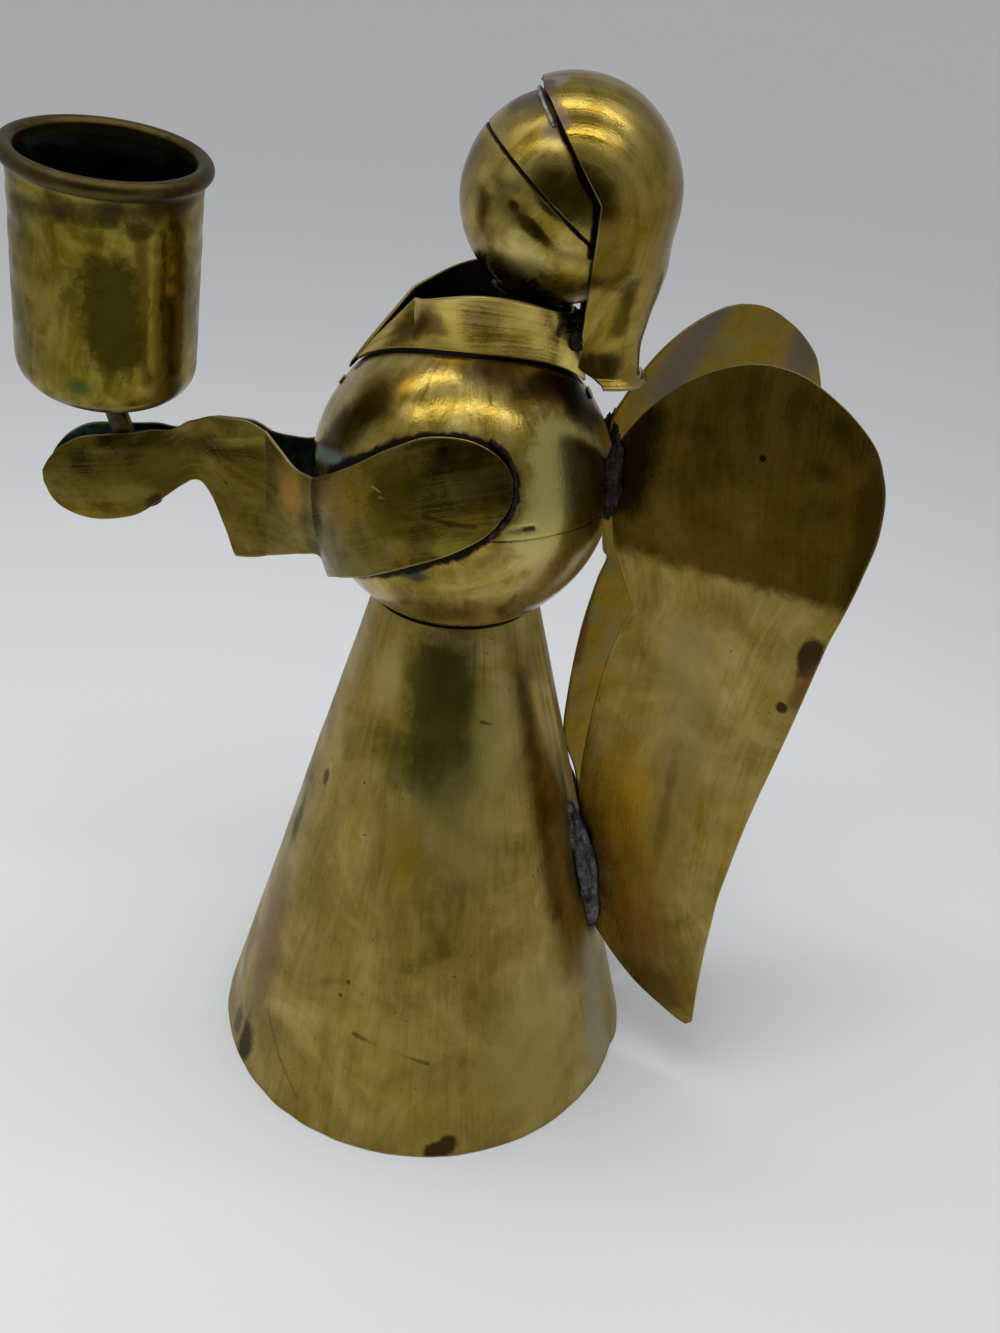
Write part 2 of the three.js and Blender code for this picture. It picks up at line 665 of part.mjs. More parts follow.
// The cup's outside from the middle of its bottom to the top of its corner, grown by a clearance.
function cupBottom(grow) {
  const dome = [
    [0, -grow],
    [CUP_FLOOR_RADIUS * 0.6, CUP_CROWN * 0.3 - grow],
  ];
  const centreHeight = CUP_CROWN + CUP_CORNER;
  return [...dome, ...arc(CUP_CORNER + grow, -Math.PI / 2, 0, 4, CUP_FLOOR_RADIUS, centreHeight)];
}

function cupProfile() {
  const quarter = Math.PI / 2;
  const beadHeight = CUP_HEIGHT - CUP_BEAD;
  const beadCentre = CUP_RIM_RADIUS - CUP_BEAD;
  const neck = CUP_BEAD + 1.5; // the wall is straight up to this far below the bead's centre
  const outside = [...cupBottom(0), [CUP_RADIUS, beadHeight - neck]];
  const rim = arc(CUP_BEAD, -quarter, quarter * 1.7, 6, beadCentre, beadHeight);
  const cornerHeight = CUP_CROWN + CUP_CORNER;
  const inside = [
    [CUP_RADIUS - CUP_WALL, beadHeight - CUP_BEAD],
    ...arc(CUP_CORNER - CUP_WALL, 0, -quarter, 3, CUP_FLOOR_RADIUS, cornerHeight),
    [0, CUP_CROWN + CUP_WALL],
  ];
  return [...outside, ...rim, ...inside];
}

function cup() {
  const mesh = add("candle_cup", turned(cupProfile(), CUP_SEGMENTS), materials.cup);
  mesh.position.copy(CUP_FOOT);
  mesh.quaternion.copy(CUP_TURN);
}

function alongRod(geometry, offset = new THREE.Vector3()) {
  const turn = new THREE.Quaternion().setFromUnitVectors(UP, ROD_AXIS);
  const place = CUP_FOOT.clone().add(offset);
  return solidOf(
    geometry.applyMatrix4(new THREE.Matrix4().compose(place, turn, new THREE.Vector3(1, 1, 1))),
  );
}

const cupCutter = solidOf(
  turned([...cupBottom(SEAT), [0, CUP_HEIGHT / 2]], CUP_SEGMENTS).applyMatrix4(
    new THREE.Matrix4().compose(CUP_FOOT, CUP_TURN, new THREE.Vector3(1, 1, 1)),
  ),
);

function rod() {
  const chamfer = 0.6;
  const sunk = 3; // the top end runs into the cup's bottom, which trims it
  const profile = [
    [0, -ROD_LENGTH],
    [ROD_RADIUS - chamfer, -ROD_LENGTH],
    [ROD_RADIUS, chamfer - ROD_LENGTH],
    [ROD_RADIUS, sunk],
    [0, sunk],
  ];
  const solid = alongRod(turned(profile, ROD_SEGMENTS)).subtract(cupCutter);
  add("cup_rod", geometryOf(solid), materials.rod);
}

function rodSolders() {
  const inner = ROD_RADIUS + SEAT;
  const reach = 3; // how far the fillet runs down the rod
  const fillet = [
    [inner, -reach],
    [inner + 0.3, -reach],
    [inner + SOLDER_FILLET, reach],
    [inner, reach],
    [inner, -reach],
  ];
  const underCup = alongRod(turned(fillet, ROD_SEGMENTS)).subtract(cupCutter);
  add("cup_solder", geometryOf(underCup), materials.solder);
  const radius = ROD_RADIUS - SEAT; // fits between the palms, right behind the rod
  const half = 4;
  const pill = [
    ...arc(radius, -Math.PI / 2, 0, 2, 0, -half),
    ...arc(radius, 0, Math.PI / 2, 2, 0, half),
  ];
  const behind = new THREE.Vector3(0, (inner + radius) / Math.cos(ROD_LEAN), 0);
  const lowest = 4; // the lump's lower end, over the rod's
  const middle = lowest + half + radius - ROD_LENGTH;
  const centre = ROD_AXIS.clone().multiplyScalar(middle).add(behind);
  const lump = alongRod(turned(pill, 12), centre);
  add("palm_solder", geometryOf(lump), materials.solder);
}

// Wings: a cut sheet each, splayed from the chest and twisted in along the skirt.
// Rows run from the lower tip to the top: the front edge's clearance from the body and its height, then
// the back edge's reach and its height. Heights from -1 to 0 are shares of the way from the lower tip
// up to the chest's centre, those above 0 are shares of the lobe's rise. The clearance and the reach
// are shares of the wing's reach.
const WING_ROWS = [
  [0.426, -1, 0.779, -0.987],
  [0.351, -0.993, 0.768, -0.921],
  [0.171, -0.952, 0.757, -0.828],
  [0.041, -0.888, 0.755, -0.735],
  [-0.015, -0.829, 0.757, -0.663],
  [0.011, -0.694, 0.783, -0.537],
  [0.041, -0.581, 0.811, -0.444],
  [0.028, -0.497, 0.848, -0.345],
  [0.033, -0.405, 0.88, -0.253],
  [0.058, -0.286, 0.918, -0.134],
  [0.104, -0.196, 0.951, -0.074],
  [0.138, -0.155, 0.974, -0.028],
  [0.112, -0.134, 0.985, 0],
  [0.03, -0.069, 1, 0.169],
  [-0.004, -0.021, 1, 0.294],
  [-0.024, 0.144, 0.989, 0.443],
  [-0.037, 0.343, 0.966, 0.552],
  [0.017, 0.505, 0.916, 0.692],
  [0.084, 0.647, 0.828, 0.811],
  [0.164, 0.769, 0.742, 0.893],
  [0.253, 0.868, 0.648, 0.963],
  [0.342, 0.94, 0.573, 0.993],
  [0.424, 0.985, 0.493, 1],
];

const wingHeight = (share) =>
  CHEST_HEIGHT + share * (share < 0 ? CHEST_HEIGHT - WING_TIP_HEIGHT : WING_RISE);

// The body's back line: the skirt's slope, up to where the chest is the wider of the two.
const backLineAt = (z) => Math.max(skirtRadiusAt(z), CHEST_RADIUS);

function wingSurface(y, z) {
  const below = Math.max(0, CHEST_HEIGHT - WING_TWIST_DROP - z);
  const root = WING_ROOT - WING_TWIST_IN * below;
  const twist = below / (CHEST_HEIGHT - WING_TWIST_DROP - WING_TIP_HEIGHT);
  const splay = WING_SPLAY + (WING_TIP_SPLAY - WING_SPLAY) * twist;
  return root + splay * (y - (CHEST_RADIUS - WING_SEAT));
}

// How much of the right wing's extra width there is at a row: all of it beside the upper skirt.
function bladeShare(height) {
  const { smoothstep } = THREE.MathUtils;
  return smoothstep(height, -0.62, -0.46) * (1 - smoothstep(height, -0.12, -0.03));
}

function wingSheet(side, under = -SHEET / 2, over = SHEET / 2, grow = 0) {
  const extra = side > 0 ? 0 : RIGHT_WING_EXTRA;
  const rise = side > 0 ? 0 : RIGHT_LOBE_RISE;
  const heightOf = (share) => wingHeight(share) + rise * THREE.MathUtils.smoothstep(share, 0.5, 1);
  const frontPoint = ([clearance, height]) => {
    const z = heightOf(height);
    const ahead = clearance * WING_REACH - grow - extra * bladeShare(height);
    return new THREE.Vector2(backLineAt(z) + ahead, z);
  };
  const backPoint = ([, , reach, height]) =>
    new THREE.Vector2(CHEST_RADIUS + reach * WING_REACH, heightOf(height));
  const front = new THREE.SplineCurve(WING_ROWS.map(frontPoint));
  const back = new THREE.SplineCurve(WING_ROWS.map(backPoint));
  const point = (u, v) => {
    const a = front.getPoint(v);
    const b = back.getPoint(v);
    const across = side > 0 ? u : 1 - u;
    const y = THREE.MathUtils.lerp(a.x, b.x, across);
    const z = THREE.MathUtils.lerp(a.y, b.y, across);
    return new THREE.Vector3(side * wingSurface(y, z), y, z);
  };
  return sheet(point, 5, 36, under, over);
}

const trimmed = (solid) => solid.subtract(skirtCutter).subtract(chestCutter);

function wings() {
  for (const [name, side] of SIDES) {
    add(`${name}_wing`, geometryOf(trimmed(solidOf(wingSheet(side)))), materials.wing);
  }
}

// Solder lumps in the corners between two pieces

function wingSolders() {
  const thick = CHEST_RADIUS / 3; // of the slab beyond the wing that trims a lump to its outer side
  const face = SHEET / 2 + SEAT;
  const ahead = 2 * SKIRT_LUMP_HALF_DEPTH; // the slab runs on into the body, past the lumps
  const cornerAt = (y, z) => new THREE.Vector3(wingSurface(y, z), y, z);
  const skirtCorner = (z) => cornerAt(skirtRadiusAt(z), z);
  const chestMiddle = cornerAt(CHEST_RADIUS - WING_SEAT / 2, CHEST_HEIGHT + CHEST_LUMP_RISE);
  const skirtMiddle = skirtCorner(wingHeight(-0.71));
  const along = skirtCorner(skirtMiddle.z + SKIRT_LUMP_HALF_HEIGHT)
    .sub(skirtCorner(skirtMiddle.z - SKIRT_LUMP_HALF_HEIGHT))
    .normalize();
  chestMiddle.x += face + CHEST_LUMP_STANDOFF;
  skirtMiddle.x += face + SKIRT_LUMP_STANDOFF;
  const chestAxes = [CHEST_LUMP_HALF_WIDTH, CHEST_LUMP_HALF_DEPTH, CHEST_LUMP_HALF_HEIGHT];
  const skirtAxes = [SKIRT_LUMP_HALF_WIDTH, SKIRT_LUMP_HALF_DEPTH, SKIRT_LUMP_HALF_HEIGHT];
  for (const [name, side] of SIDES) {
    const mirror = new THREE.Vector3(side, 1, 1);
    const onSide = (place) => place.clone().multiply(mirror);
    const wing = solidOf(wingSheet(side, -thick, face, ahead));
    const chestBead = trimmed(bead(onSide(chestMiddle), chestAxes)).subtract(wing);
    const skirtBead = trimmed(bead(onSide(skirtMiddle), skirtAxes, onSide(along))).subtract(wing);
    add(`${name}_wing_chest_solder`, geometryOf(chestBead), materials.solder);
    add(`${name}_wing_skirt_solder`, geometryOf(skirtBead), materials.solder);
  }
}

// A wire of solder round the pad's rounded end, run into the corner between its rim and the chest.
function shoulderSolders() {
  const radius = 0.9;
  const gap = radius + SEAT + 0.1;
  const reach = CHEST_RADIUS + SEAT + radius * 0.6;
  const padEnd = ARM_STATIONS.slice(0, 3);
  const clearOf = (stage) => (stage > -1 ? gap : 0);
  const outline = [
    ...padEnd.map(([stage, low]) => [stage, low * ARM_DROP - clearOf(stage)]).reverse(),
    ...padEnd.map(([stage, , high]) => [stage, high * ARM_DROP + clearOf(stage)]),
  ];
  for (const [name, side] of SIDES) {
    const points = outline.map(([stage, height]) => {
      const past = stage < -0.95 ? gap : 0;
      const angle = ELBOW_ANGLE + (alongAt(stage) - past) / PAD_RADIUS;
      const across = Math.sqrt(reach ** 2 - height ** 2);
      const [x, y] = [across * Math.cos(angle), -across * Math.sin(angle)];
      return new THREE.Vector3(side * x, y, CHEST_HEIGHT + height);
    });
    const solid = wire(points, radius, 10).subtract(chestCutter);
    add(`${name}_shoulder_solder`, geometryOf(solid), materials.solder);
  }
}

function collarSolders() {
  const band = solidOf(collarSheet(SEAT));
  const depth = 1.4;
  const high = 0.9; // of the lumps' middles over the chest
  const frontY = -COLLAR_HALF_LENGTH - COLLAR_RIGHT_TIP - SHEET / 2 - SEAT - depth;
  const backY = COLLAR_HALF_LENGTH + SHEET / 2 + SEAT + depth;
  const front = bead([0, frontY, onChest(0, frontY, high)], [2, depth, 1.7]);
  const back = bead([0, backY, onChest(0, backY, high)], [3, depth, 1.7]);
  const trim = (solid) => geometryOf(solid.subtract(chestCutter).subtract(band));
  add("collar_solder_front", trim(front), materials.solder);
  add("collar_solder_back", trim(back), materials.solder);
}

// Two lumps where the hair's tail touches the collar, and a wire where the hood's edge meets the head.
function hairSolders() {
  const band = solidOf(collarSheet(SEAT));
  const hood = hairSolid(SEAT);
  const low = HAIR_CENTRE.z - 0.75 * HAIR_LENGTH;
  const edge = HAIR_CENTRE.y + HAIR_EDGE_SETBACK;
  for (const [name, side] of SIDES) {
    const blob = bead([side * (TAIL_HALF_WIDTH - 0.3), edge - 0.9, low], [1.6, 2, 2.6]);
    const solid = blob.subtract(band).subtract(hood).subtract(chestCutter);
    add(`${name}_hair_solder`, geometryOf(solid), materials.solder);
  }
  const radius = 0.7;
  const [start, end, count] = [-14 * DEGREE, 46 * DEGREE, 8];
  const normal = new THREE.Vector3(0, 1, HAIR_EDGE_SLOPE).normalize();
  const forward = new THREE.Vector3(0, -normal.z, normal.y);
  const planeOffset = normal.y * (HAIR_SET_BACK + HAIR_EDGE_SETBACK) + normal.z * HAIR_RISE;
  const ahead = planeOffset - SEAT - radius;
  const centre = HEAD_CENTRE.clone().addScaledVector(normal, ahead);
  const reach = Math.sqrt(HEAD_RADIUS ** 2 - ahead ** 2) + SEAT + radius * 0.6;
  const points = Array.from({ length: count + 1 }, (_, k) => {
    const angle = start + ((end - start) * k) / count;
    const place = centre.clone().addScaledVector(forward, reach * Math.cos(angle));
    return place.addScaledVector(new THREE.Vector3(1, 0, 0), reach * Math.sin(angle));
  });
  const run = wire(points, radius, count).subtract(headCutter).subtract(hood);
  add("hair_solder_top", geometryOf(run), materials.solder);
}

skirt();
chest();
neck();
neckSolder();
waistSolder();
collar();
head();
hair();
arms();
cup();
rod();
rodSolders();
wings();
wingSolders();
shoulderSolders();
collarSolders();
hairSolders();

export default group;
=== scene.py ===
"""Brass angel candle holder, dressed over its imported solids.

Each sub-assembly is a class. Its fields are sizes in millimetres and angles in radians, in the part's
own frame: the origin is the centre of the skirt's foot on the ground, +Z is up, the angel faces -Y
and its left side is +X. Shapes are grids of points worked out with numpy and put into meshes in
metres. Finishes are node materials that read Object coordinates and the pieces' own attributes.
"""

from __future__ import annotations

import logging
import math
from dataclasses import dataclass, replace
from enum import Enum
from typing import Iterable, Sequence

import bmesh
import bpy
import numpy as np
from mathutils import Matrix, Vector

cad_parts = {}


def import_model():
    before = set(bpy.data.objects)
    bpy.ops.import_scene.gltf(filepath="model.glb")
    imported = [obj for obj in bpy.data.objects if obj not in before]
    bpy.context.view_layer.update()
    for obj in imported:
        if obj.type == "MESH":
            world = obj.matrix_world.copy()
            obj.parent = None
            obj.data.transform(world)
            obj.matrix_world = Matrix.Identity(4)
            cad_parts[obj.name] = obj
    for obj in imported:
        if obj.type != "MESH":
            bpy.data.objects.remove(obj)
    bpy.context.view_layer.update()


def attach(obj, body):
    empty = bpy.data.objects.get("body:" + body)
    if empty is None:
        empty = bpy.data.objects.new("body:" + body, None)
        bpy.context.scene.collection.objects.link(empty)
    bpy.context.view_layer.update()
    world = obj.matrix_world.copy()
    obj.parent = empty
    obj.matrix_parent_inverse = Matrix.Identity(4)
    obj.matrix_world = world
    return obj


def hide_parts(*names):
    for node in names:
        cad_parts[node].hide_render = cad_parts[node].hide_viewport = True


LOG = logging.getLogger("angel")

Array = np.ndarray
Colour = tuple[float, float, float]
Point = tuple[float, float, float]
Layer = tuple[float, float, int]  # a ripple's height, size and seed
Material = bpy.types.Material
Socket = bpy.types.NodeSocket

METRES = 0.001  # one millimetre
MILLIMETRES = 1000.0  # one metre
FULL_TURN = 2 * math.pi
QUARTER_TURN = math.pi / 2
UP = np.array([0.0, 0.0, 1.0])
LEVEL = np.array([1.0, 1.0, 0.0])  # times a place, what is level of it
GRAIN_REACH = 0.7  # the radius that the grain's coordinates run round, over the piece's largest
WAVE_SPREAD = (0.7, 1.6)  # a ripple's shortest and longest wave over its size
ROOT = "root"
SEED = 41


class Slot(Enum):
    """The record's material slots."""

    SKIRT = "skirt_brass"
    BALL = "ball_brass"
    HAIR = "hair_brass"
    WING = "wing_brass"
    ARM = "arm_brass"
    COLLAR = "collar_brass"
    CUP = "cup_brass"
    ROD = "rod_brass"
    SOLDER = "lead_solder"


class Side(Enum):
    """The angel's own sides, as the sign of X."""

    LEFT = 1
    RIGHT = -1

    @property
    def label(self) -> str:
        """The side's word in the names of the pieces."""
        return self.name.lower()


# Arithmetic on points and fields


def unit(vectors: Array) -> Array:
    """The vectors, each divided by its own length."""
    length = np.linalg.norm(vectors, axis=-1, keepdims=True)
    return vectors / np.maximum(length, 1e-12)


def smoothstep(value: Array | float, low: float, high: float) -> Array | float:
    """Rises from 0 at low to 1 at high as t * t * (3 - 2 t)."""
    t = np.clip((np.asarray(value, float) - low) / (high - low), 0.0, 1.0)
    return t * t * (3.0 - 2.0 * t)


def lerp(start: Array, end: Array, share: Array | float) -> Array:
    """The point that lies the given share of the way from start to end."""
    return start + (end - start) * share


def ripple(points: Array, size: float, seed: int, waves: int = 20) -> Array:
    """A smooth random field over space, about -1 to 1.

    It is the mean of sine waves in random directions, whose lengths lie round the given size, times
    the square root of half their number.

    Args:
        points: places in millimetres, any shape ending in 3.
        size: the typical wave length in millimetres.
        seed: picks the directions, lengths and phases.
        waves: how many sines are added.

    Returns:
        One value for each place.
    """
    rng = np.random.default_rng(SEED + seed)
    directions = unit(rng.normal(size=(waves, 3)))
    numbers = FULL_TURN / (size * rng.uniform(*WAVE_SPREAD, waves))
    phases = rng.uniform(0, FULL_TURN, waves)
    angles = points @ (directions * numbers[:, None]).T + phases
    return np.sin(angles).sum(axis=-1) / math.sqrt(2.0 * waves)


def relief(points: Array, *layers: Layer) -> Array:
    """The sum of the given ripples."""
    return sum(height * ripple(points, size, seed) for height, size, seed in layers)


def spline(points: Array, share: Array, centripetal: bool) -> Array:
    """A Catmull-Rom curve through the points.

    Each span is the cubic with the two points' places and slopes. A slope is half of the chord over
    its neighbours, or for a centripetal curve the slope for knots spaced by the square root of the
    chords.

    Args:
        points: the points that the curve runs through, one per row.
        share: where to read it, 0 at the first point and 1 at the last, in equal spans.
        centripetal: whether the knots are spaced by the chords.

    Returns:
        One point for each share.
    """
    last = len(points) - 1
    place = np.clip(share, 0.0, 1.0) * last
    span = np.minimum(place.astype(int), last - 1)
    t = (place - span)[..., None]
    if centripetal:
        before, after = 2 * points[0] - points[1], 2 * points[-1] - points[-2]
    else:
        before, after = points[0], points[-1]
    padded = np.vstack([before, points, after])
    p0, p1, p2, p3 = (padded[span + k] for k in range(4))
    if centripetal:
        chords = (p1 - p0, p2 - p1, p3 - p2)
        k0, k1, k2 = (np.sqrt(np.linalg.norm(chord, axis=-1))[..., None] for chord in chords)
        start = k1 * ((p1 - p0) / k0 - (p2 - p0) / (k0 + k1) + (p2 - p1) / k1)
        end = k1 * ((p2 - p1) / k1 - (p3 - p1) / (k1 + k2) + (p3 - p2) / k2)
    else:
        start, end = (p2 - p0) / 2, (p3 - p1) / 2
    cubic = 2 * p1 - 2 * p2 + start + end
    square = -3 * p1 + 3 * p2 - 2 * start - end
    return ((cubic * t + square) * t + start) * t + p1


def valley(points: Array, path: Sequence[Point], width: float) -> Array:
    """How deep a crease is at each point: exp(-(d / width) squared), d being the distance to the path."""
    corners = np.asarray(path, float)
    nearest = np.full(points.shape[:-1], np.inf)
    for start, end in zip(corners, corners[1:]):
        step = end - start
        share = np.clip((points - start) @ step / (step @ step), 0.0, 1.0)
        nearest = np.minimum(nearest, ((points - start - share[..., None] * step) ** 2).sum(axis=-1))
    return np.exp(-nearest / width**2)


def turn_to(axis: Array) -> Array:
    """The shortest rotation from +Z to the axis, as a 3 by 3 matrix."""
    return np.array(Vector((0, 0, 1)).rotation_difference(Vector(axis)).to_matrix())


def about_x(angle: float) -> Array:
    """The rotation about X by an angle, as a 3 by 3 matrix."""
    return np.array(Matrix.Rotation(angle, 3, "X"))


def polar(radius: Array | float, angle: Array, height: Array) -> Array:
    """Points about the Z axis: (r cos a, r sin a, h)."""
    return np.stack(np.broadcast_arrays(radius * np.cos(angle), radius * np.sin(angle), height), axis=-1)


def shares(count: int, guard: float = 0.0) -> Array:
    """Even steps from 0 to 1, with one short step next to each end where a guard is given."""
    if not guard:
        return np.linspace(0.0, 1.0, count + 1)
    return np.concatenate([[0.0], np.linspace(guard, 1.0 - guard, count - 1), [1.0]])


# Surfaces


@dataclass
class Surface:
    """A closed surface in millimetres, with what its finish needs to know at each point.

    Attributes:
        points: the places, one per row.
        quads: the faces, four point numbers per row.
        flow: coordinates that run with the metal's grain, in millimetres, the third along the grain.
        outer: 1 on the side that shows and 0 on the side turned in.
        rim: 1 on the cut edge of a sheet, 0 elsewhere.
        dirt: 1 where dirt lies in a seam or a shadow is painted, 0 on clean metal.
    """

    points: Array
    quads: Array
    flow: Array
    outer: Array
    rim: Array
    dirt: Array | None = None

    def moved(self, origin: Sequence[float], turn: Array = np.eye(3)) -> Surface:
        """The same surface turned by a matrix about its own origin, then put at a place."""
        return replace(self, points=self.points @ turn.T + np.asarray(origin))

    def flipped(self) -> Surface:
        """The same surface, showing the side that was turned in."""
        return replace(self, outer=1.0 - self.outer)

    def soiled_and_shaded(self, dirt: Array) -> Surface:
        """The same surface with more dirt and painted shade."""
        return replace(self, dirt=dirt if self.dirt is None else np.maximum(self.dirt, dirt))


def grid_quads(rows: int, columns: int, first: int = 0) -> Array:
    """Faces of a grid of points numbered row by row, that turn from rows towards columns."""
    i, j = np.meshgrid(np.arange(rows - 1), np.arange(columns - 1), indexing="ij")
    corner = (first + i * columns + j).ravel()
    return np.column_stack([corner, corner + columns, corner + columns + 1, corner + 1])


def border_of(rows: int, columns: int) -> Array:
    """The point numbers round the edge of a grid, once round from its first corner."""
    numbers = np.arange(rows * columns).reshape(rows, columns)
    return np.concatenate([numbers[:-1, 0], numbers[-1, :-1], numbers[:0:-1, -1], numbers[0, :0:-1]])


MOST_DRAWN_IN = 0.45  # how far a sheet's edge may be drawn in, over its first step
EDGE_RINGS = 5  # points across a sheet's rounded edge


def sheet_shell(middle: Array, thickness: float, rounding: float = 0.22) -> Surface:
    """A sheet of metal of even thickness with softly rounded cut edges.

    The middle surface is a grid of points. Its normals are the cross products of its differences
    along rows and columns. Both faces lie half the thickness away along them. The grid's edge is
    drawn in by the rounding, and from one face to the other runs a bulge: out by the rounding times
    the root of the cosine, and up by half the thickness times the sine, of an angle that goes from
    +90 to -90 degrees.

    Args:
        middle: the middle surface, rows by columns by 3.
        thickness: of the sheet.
        rounding: how far the edge bulges.

    Returns:
        The closed surface. Its outer side is the one that rows cross columns points to.
    """
    rows, columns = middle.shape[:2]
    normal = unit(np.cross(np.gradient(middle, axis=0), np.gradient(middle, axis=1)))
    out = np.zeros_like(middle)
    gap = np.full(middle.shape[:2], np.inf)
    for edge, inner in (
        (np.s_[0, :], np.s_[1, :]),
        (np.s_[-1, :], np.s_[-2, :]),
        (np.s_[:, 0], np.s_[:, 1]),
        (np.s_[:, -1], np.s_[:, -2]),
    ):
        step = middle[edge] - middle[inner]
        out[edge] += unit(step)
        gap[edge] = np.minimum(gap[edge], np.linalg.norm(step, axis=-1))
    out = unit(out)
    reach = np.where(np.isfinite(gap), np.minimum(rounding, MOST_DRAWN_IN * gap), 0.0)[..., None]
    base = middle - out * reach
    half = thickness / 2
    border = border_of(rows, columns)
    flat_base, flat_out = base.reshape(-1, 3)[border], (out * reach).reshape(-1, 3)[border]
    flat_normal = normal.reshape(-1, 3)[border]
    angles = np.linspace(QUARTER_TURN, -QUARTER_TURN, EDGE_RINGS + 2)[1:-1]
    rings = [flat_base + flat_out * math.sqrt(math.cos(a)) + flat_normal * half * math.sin(a) for a in angles]
    layer, count = rows * columns, len(border)
    faces = [(base + side * normal * half).reshape(-1, 3) for side in (1, -1)]
    points = np.vstack([*faces, *rings])
    bulge = [2 * layer + k * count + np.arange(count) for k in range(len(rings))]
    loops = [border, *bulge, layer + border]
    quads = [grid_quads(rows, columns), grid_quads(rows, columns, layer)[:, ::-1]]
    for upper, lower in zip(loops, loops[1:]):
        quads.append(np.column_stack([upper, lower, np.roll(lower, -1), np.roll(upper, -1)]))
    across = np.cumsum(np.linalg.norm(np.diff(middle, axis=1, prepend=middle[:, :1]), axis=-1), axis=1)
    across -= across.mean(axis=1, keepdims=True)
    flow = np.stack([across, np.zeros_like(across), middle[..., 2]], axis=-1).reshape(-1, 3)
    flow = np.vstack([flow, flow, *([flow[border]] * len(rings))])
    turning = [np.full(count, (1 + math.sin(a)) / 2) for a in angles]
    outer = np.concatenate([np.ones(layer), np.zeros(layer), *turning])
    rim = np.zeros(len(points))
    rim[border] = rim[layer + border] = 0.5
    rim[2 * layer :] = 1.0
    return Surface(points, np.vstack(quads), flow, outer, rim)


def turned_shell(
    profile: Array, segments: int, outer: Array | None = None, closed: bool = False
) -> Surface:
    """A turned body about +Z.

    A point of the profile at radius r and height h goes to (r cos a, r sin a, h) for angles a once
    round. The grain runs along the profile: the flow is a point at one radius and the angle a, with
    the length along the profile as its third coordinate.

    Args:
        profile: radius and height pairs, from pole to pole, or once round a closed section.
        segments: how many steps make the full turn.
        outer: 1 where the profile shows and 0 where it is turned in; all of it shows if not given.
        closed: whether the profile's last point joins its first.

    Returns:
        The surface, with a double column where the turn closes, for the weld to join.
    """
    outer = np.ones(len(profile)) if outer is None else outer
    if closed:
        profile, outer = np.vstack([profile, profile[:1]]), np.append(outer, outer[0])
    angle = np.linspace(0.0, FULL_TURN, segments + 1)
    points = polar(profile[:, :1], angle, profile[:, 1:])
    reach = float(profile[:, 0].max()) * GRAIN_REACH
    along = np.cumsum(np.linalg.norm(np.diff(profile, axis=0, prepend=profile[:1]), axis=1))[:, None]
    flow = polar(reach, angle, along)
    quads = grid_quads(len(profile), segments + 1)
    shown = np.repeat(outer, segments + 1)
    return Surface(points.reshape(-1, 3), quads, flow.reshape(-1, 3), shown, np.zeros(len(shown)))


def arc(
    radius: float, start: float, end: float, steps: int, across: float = 0.0, height: float = 0.0
) -> Array:
    """Radius and height pairs on a circle about the point (across, height)."""
    angle = np.linspace(start, end, steps + 1)
    out = np.maximum(0.0, across + radius * np.cos(angle))
    return np.column_stack([out, height + radius * np.sin(angle)])


def lump_shell(radii: Sequence[float], seed: int, rough: float = 0.12) -> Surface:
    """A lump of solder about the origin: a ball with three half axes, pushed out and in by ripples.

    Args:
        radii: half axes along X, Y and Z.
        seed: picks the ripples.
        rough: the ripples' height as a share of the radii, and the most that they push out.

    Returns:
        The closed surface.
    """
    sphere = turned_shell(arc(1.0, -QUARTER_TURN, QUARTER_TURN, 40), 64)
    swell = 1.0 + rough * relief(sphere.points, (1.0, 1.1, seed), (0.5, 0.45, seed + 1))
    points = sphere.points * np.minimum(swell, 1.0 + rough)[:, None] * np.asarray(radii)
    return replace(sphere, points=points, flow=points)


def wire_shell(path: Array, radius: float, seed: int) -> Surface:
    """A run of solder along a path, with lumps and rounded ends.

    Rings stand square to the path. Their radius rises and falls with a ripple, and runs out at both
    ends with the root of the share of the length to the nearer end.

    Args:
        path: points along the run, one per row.
        radius: of the run.
        seed: picks the lumps.

    Returns:
        The closed surface.
    """
    sides, taper, lumps = 20, 14, (0.22, 3.0, seed)
    ahead = unit(np.gradient(path, axis=0))
    across = unit(np.cross(ahead, np.array([0.3, 0.5, 0.81])))
    other = np.cross(ahead, across)
    share = np.linspace(0.0, 1.0, len(path))
    swell = np.sqrt(np.clip(np.minimum(share, 1 - share) * taper, 0.0, 1.0))
    size = radius * swell * (1 + relief(path, lumps))
    angle = np.linspace(0.0, FULL_TURN, sides + 1)[:, None]
    ring = across[:, None] * np.cos(angle) + other[:, None] * np.sin(angle)
    points = (path[:, None] + ring * size[:, None, None]).reshape(-1, 3)
    quads = grid_quads(len(path), sides + 1)
    return Surface(points, quads, points, np.ones(len(points)), np.zeros(len(points)))


# Meshes

DOUBLE = 2e-6  # points nearer than this are one, in metres
DEGENERATE = 1e-7  # edges shorter than this are taken out, in metres


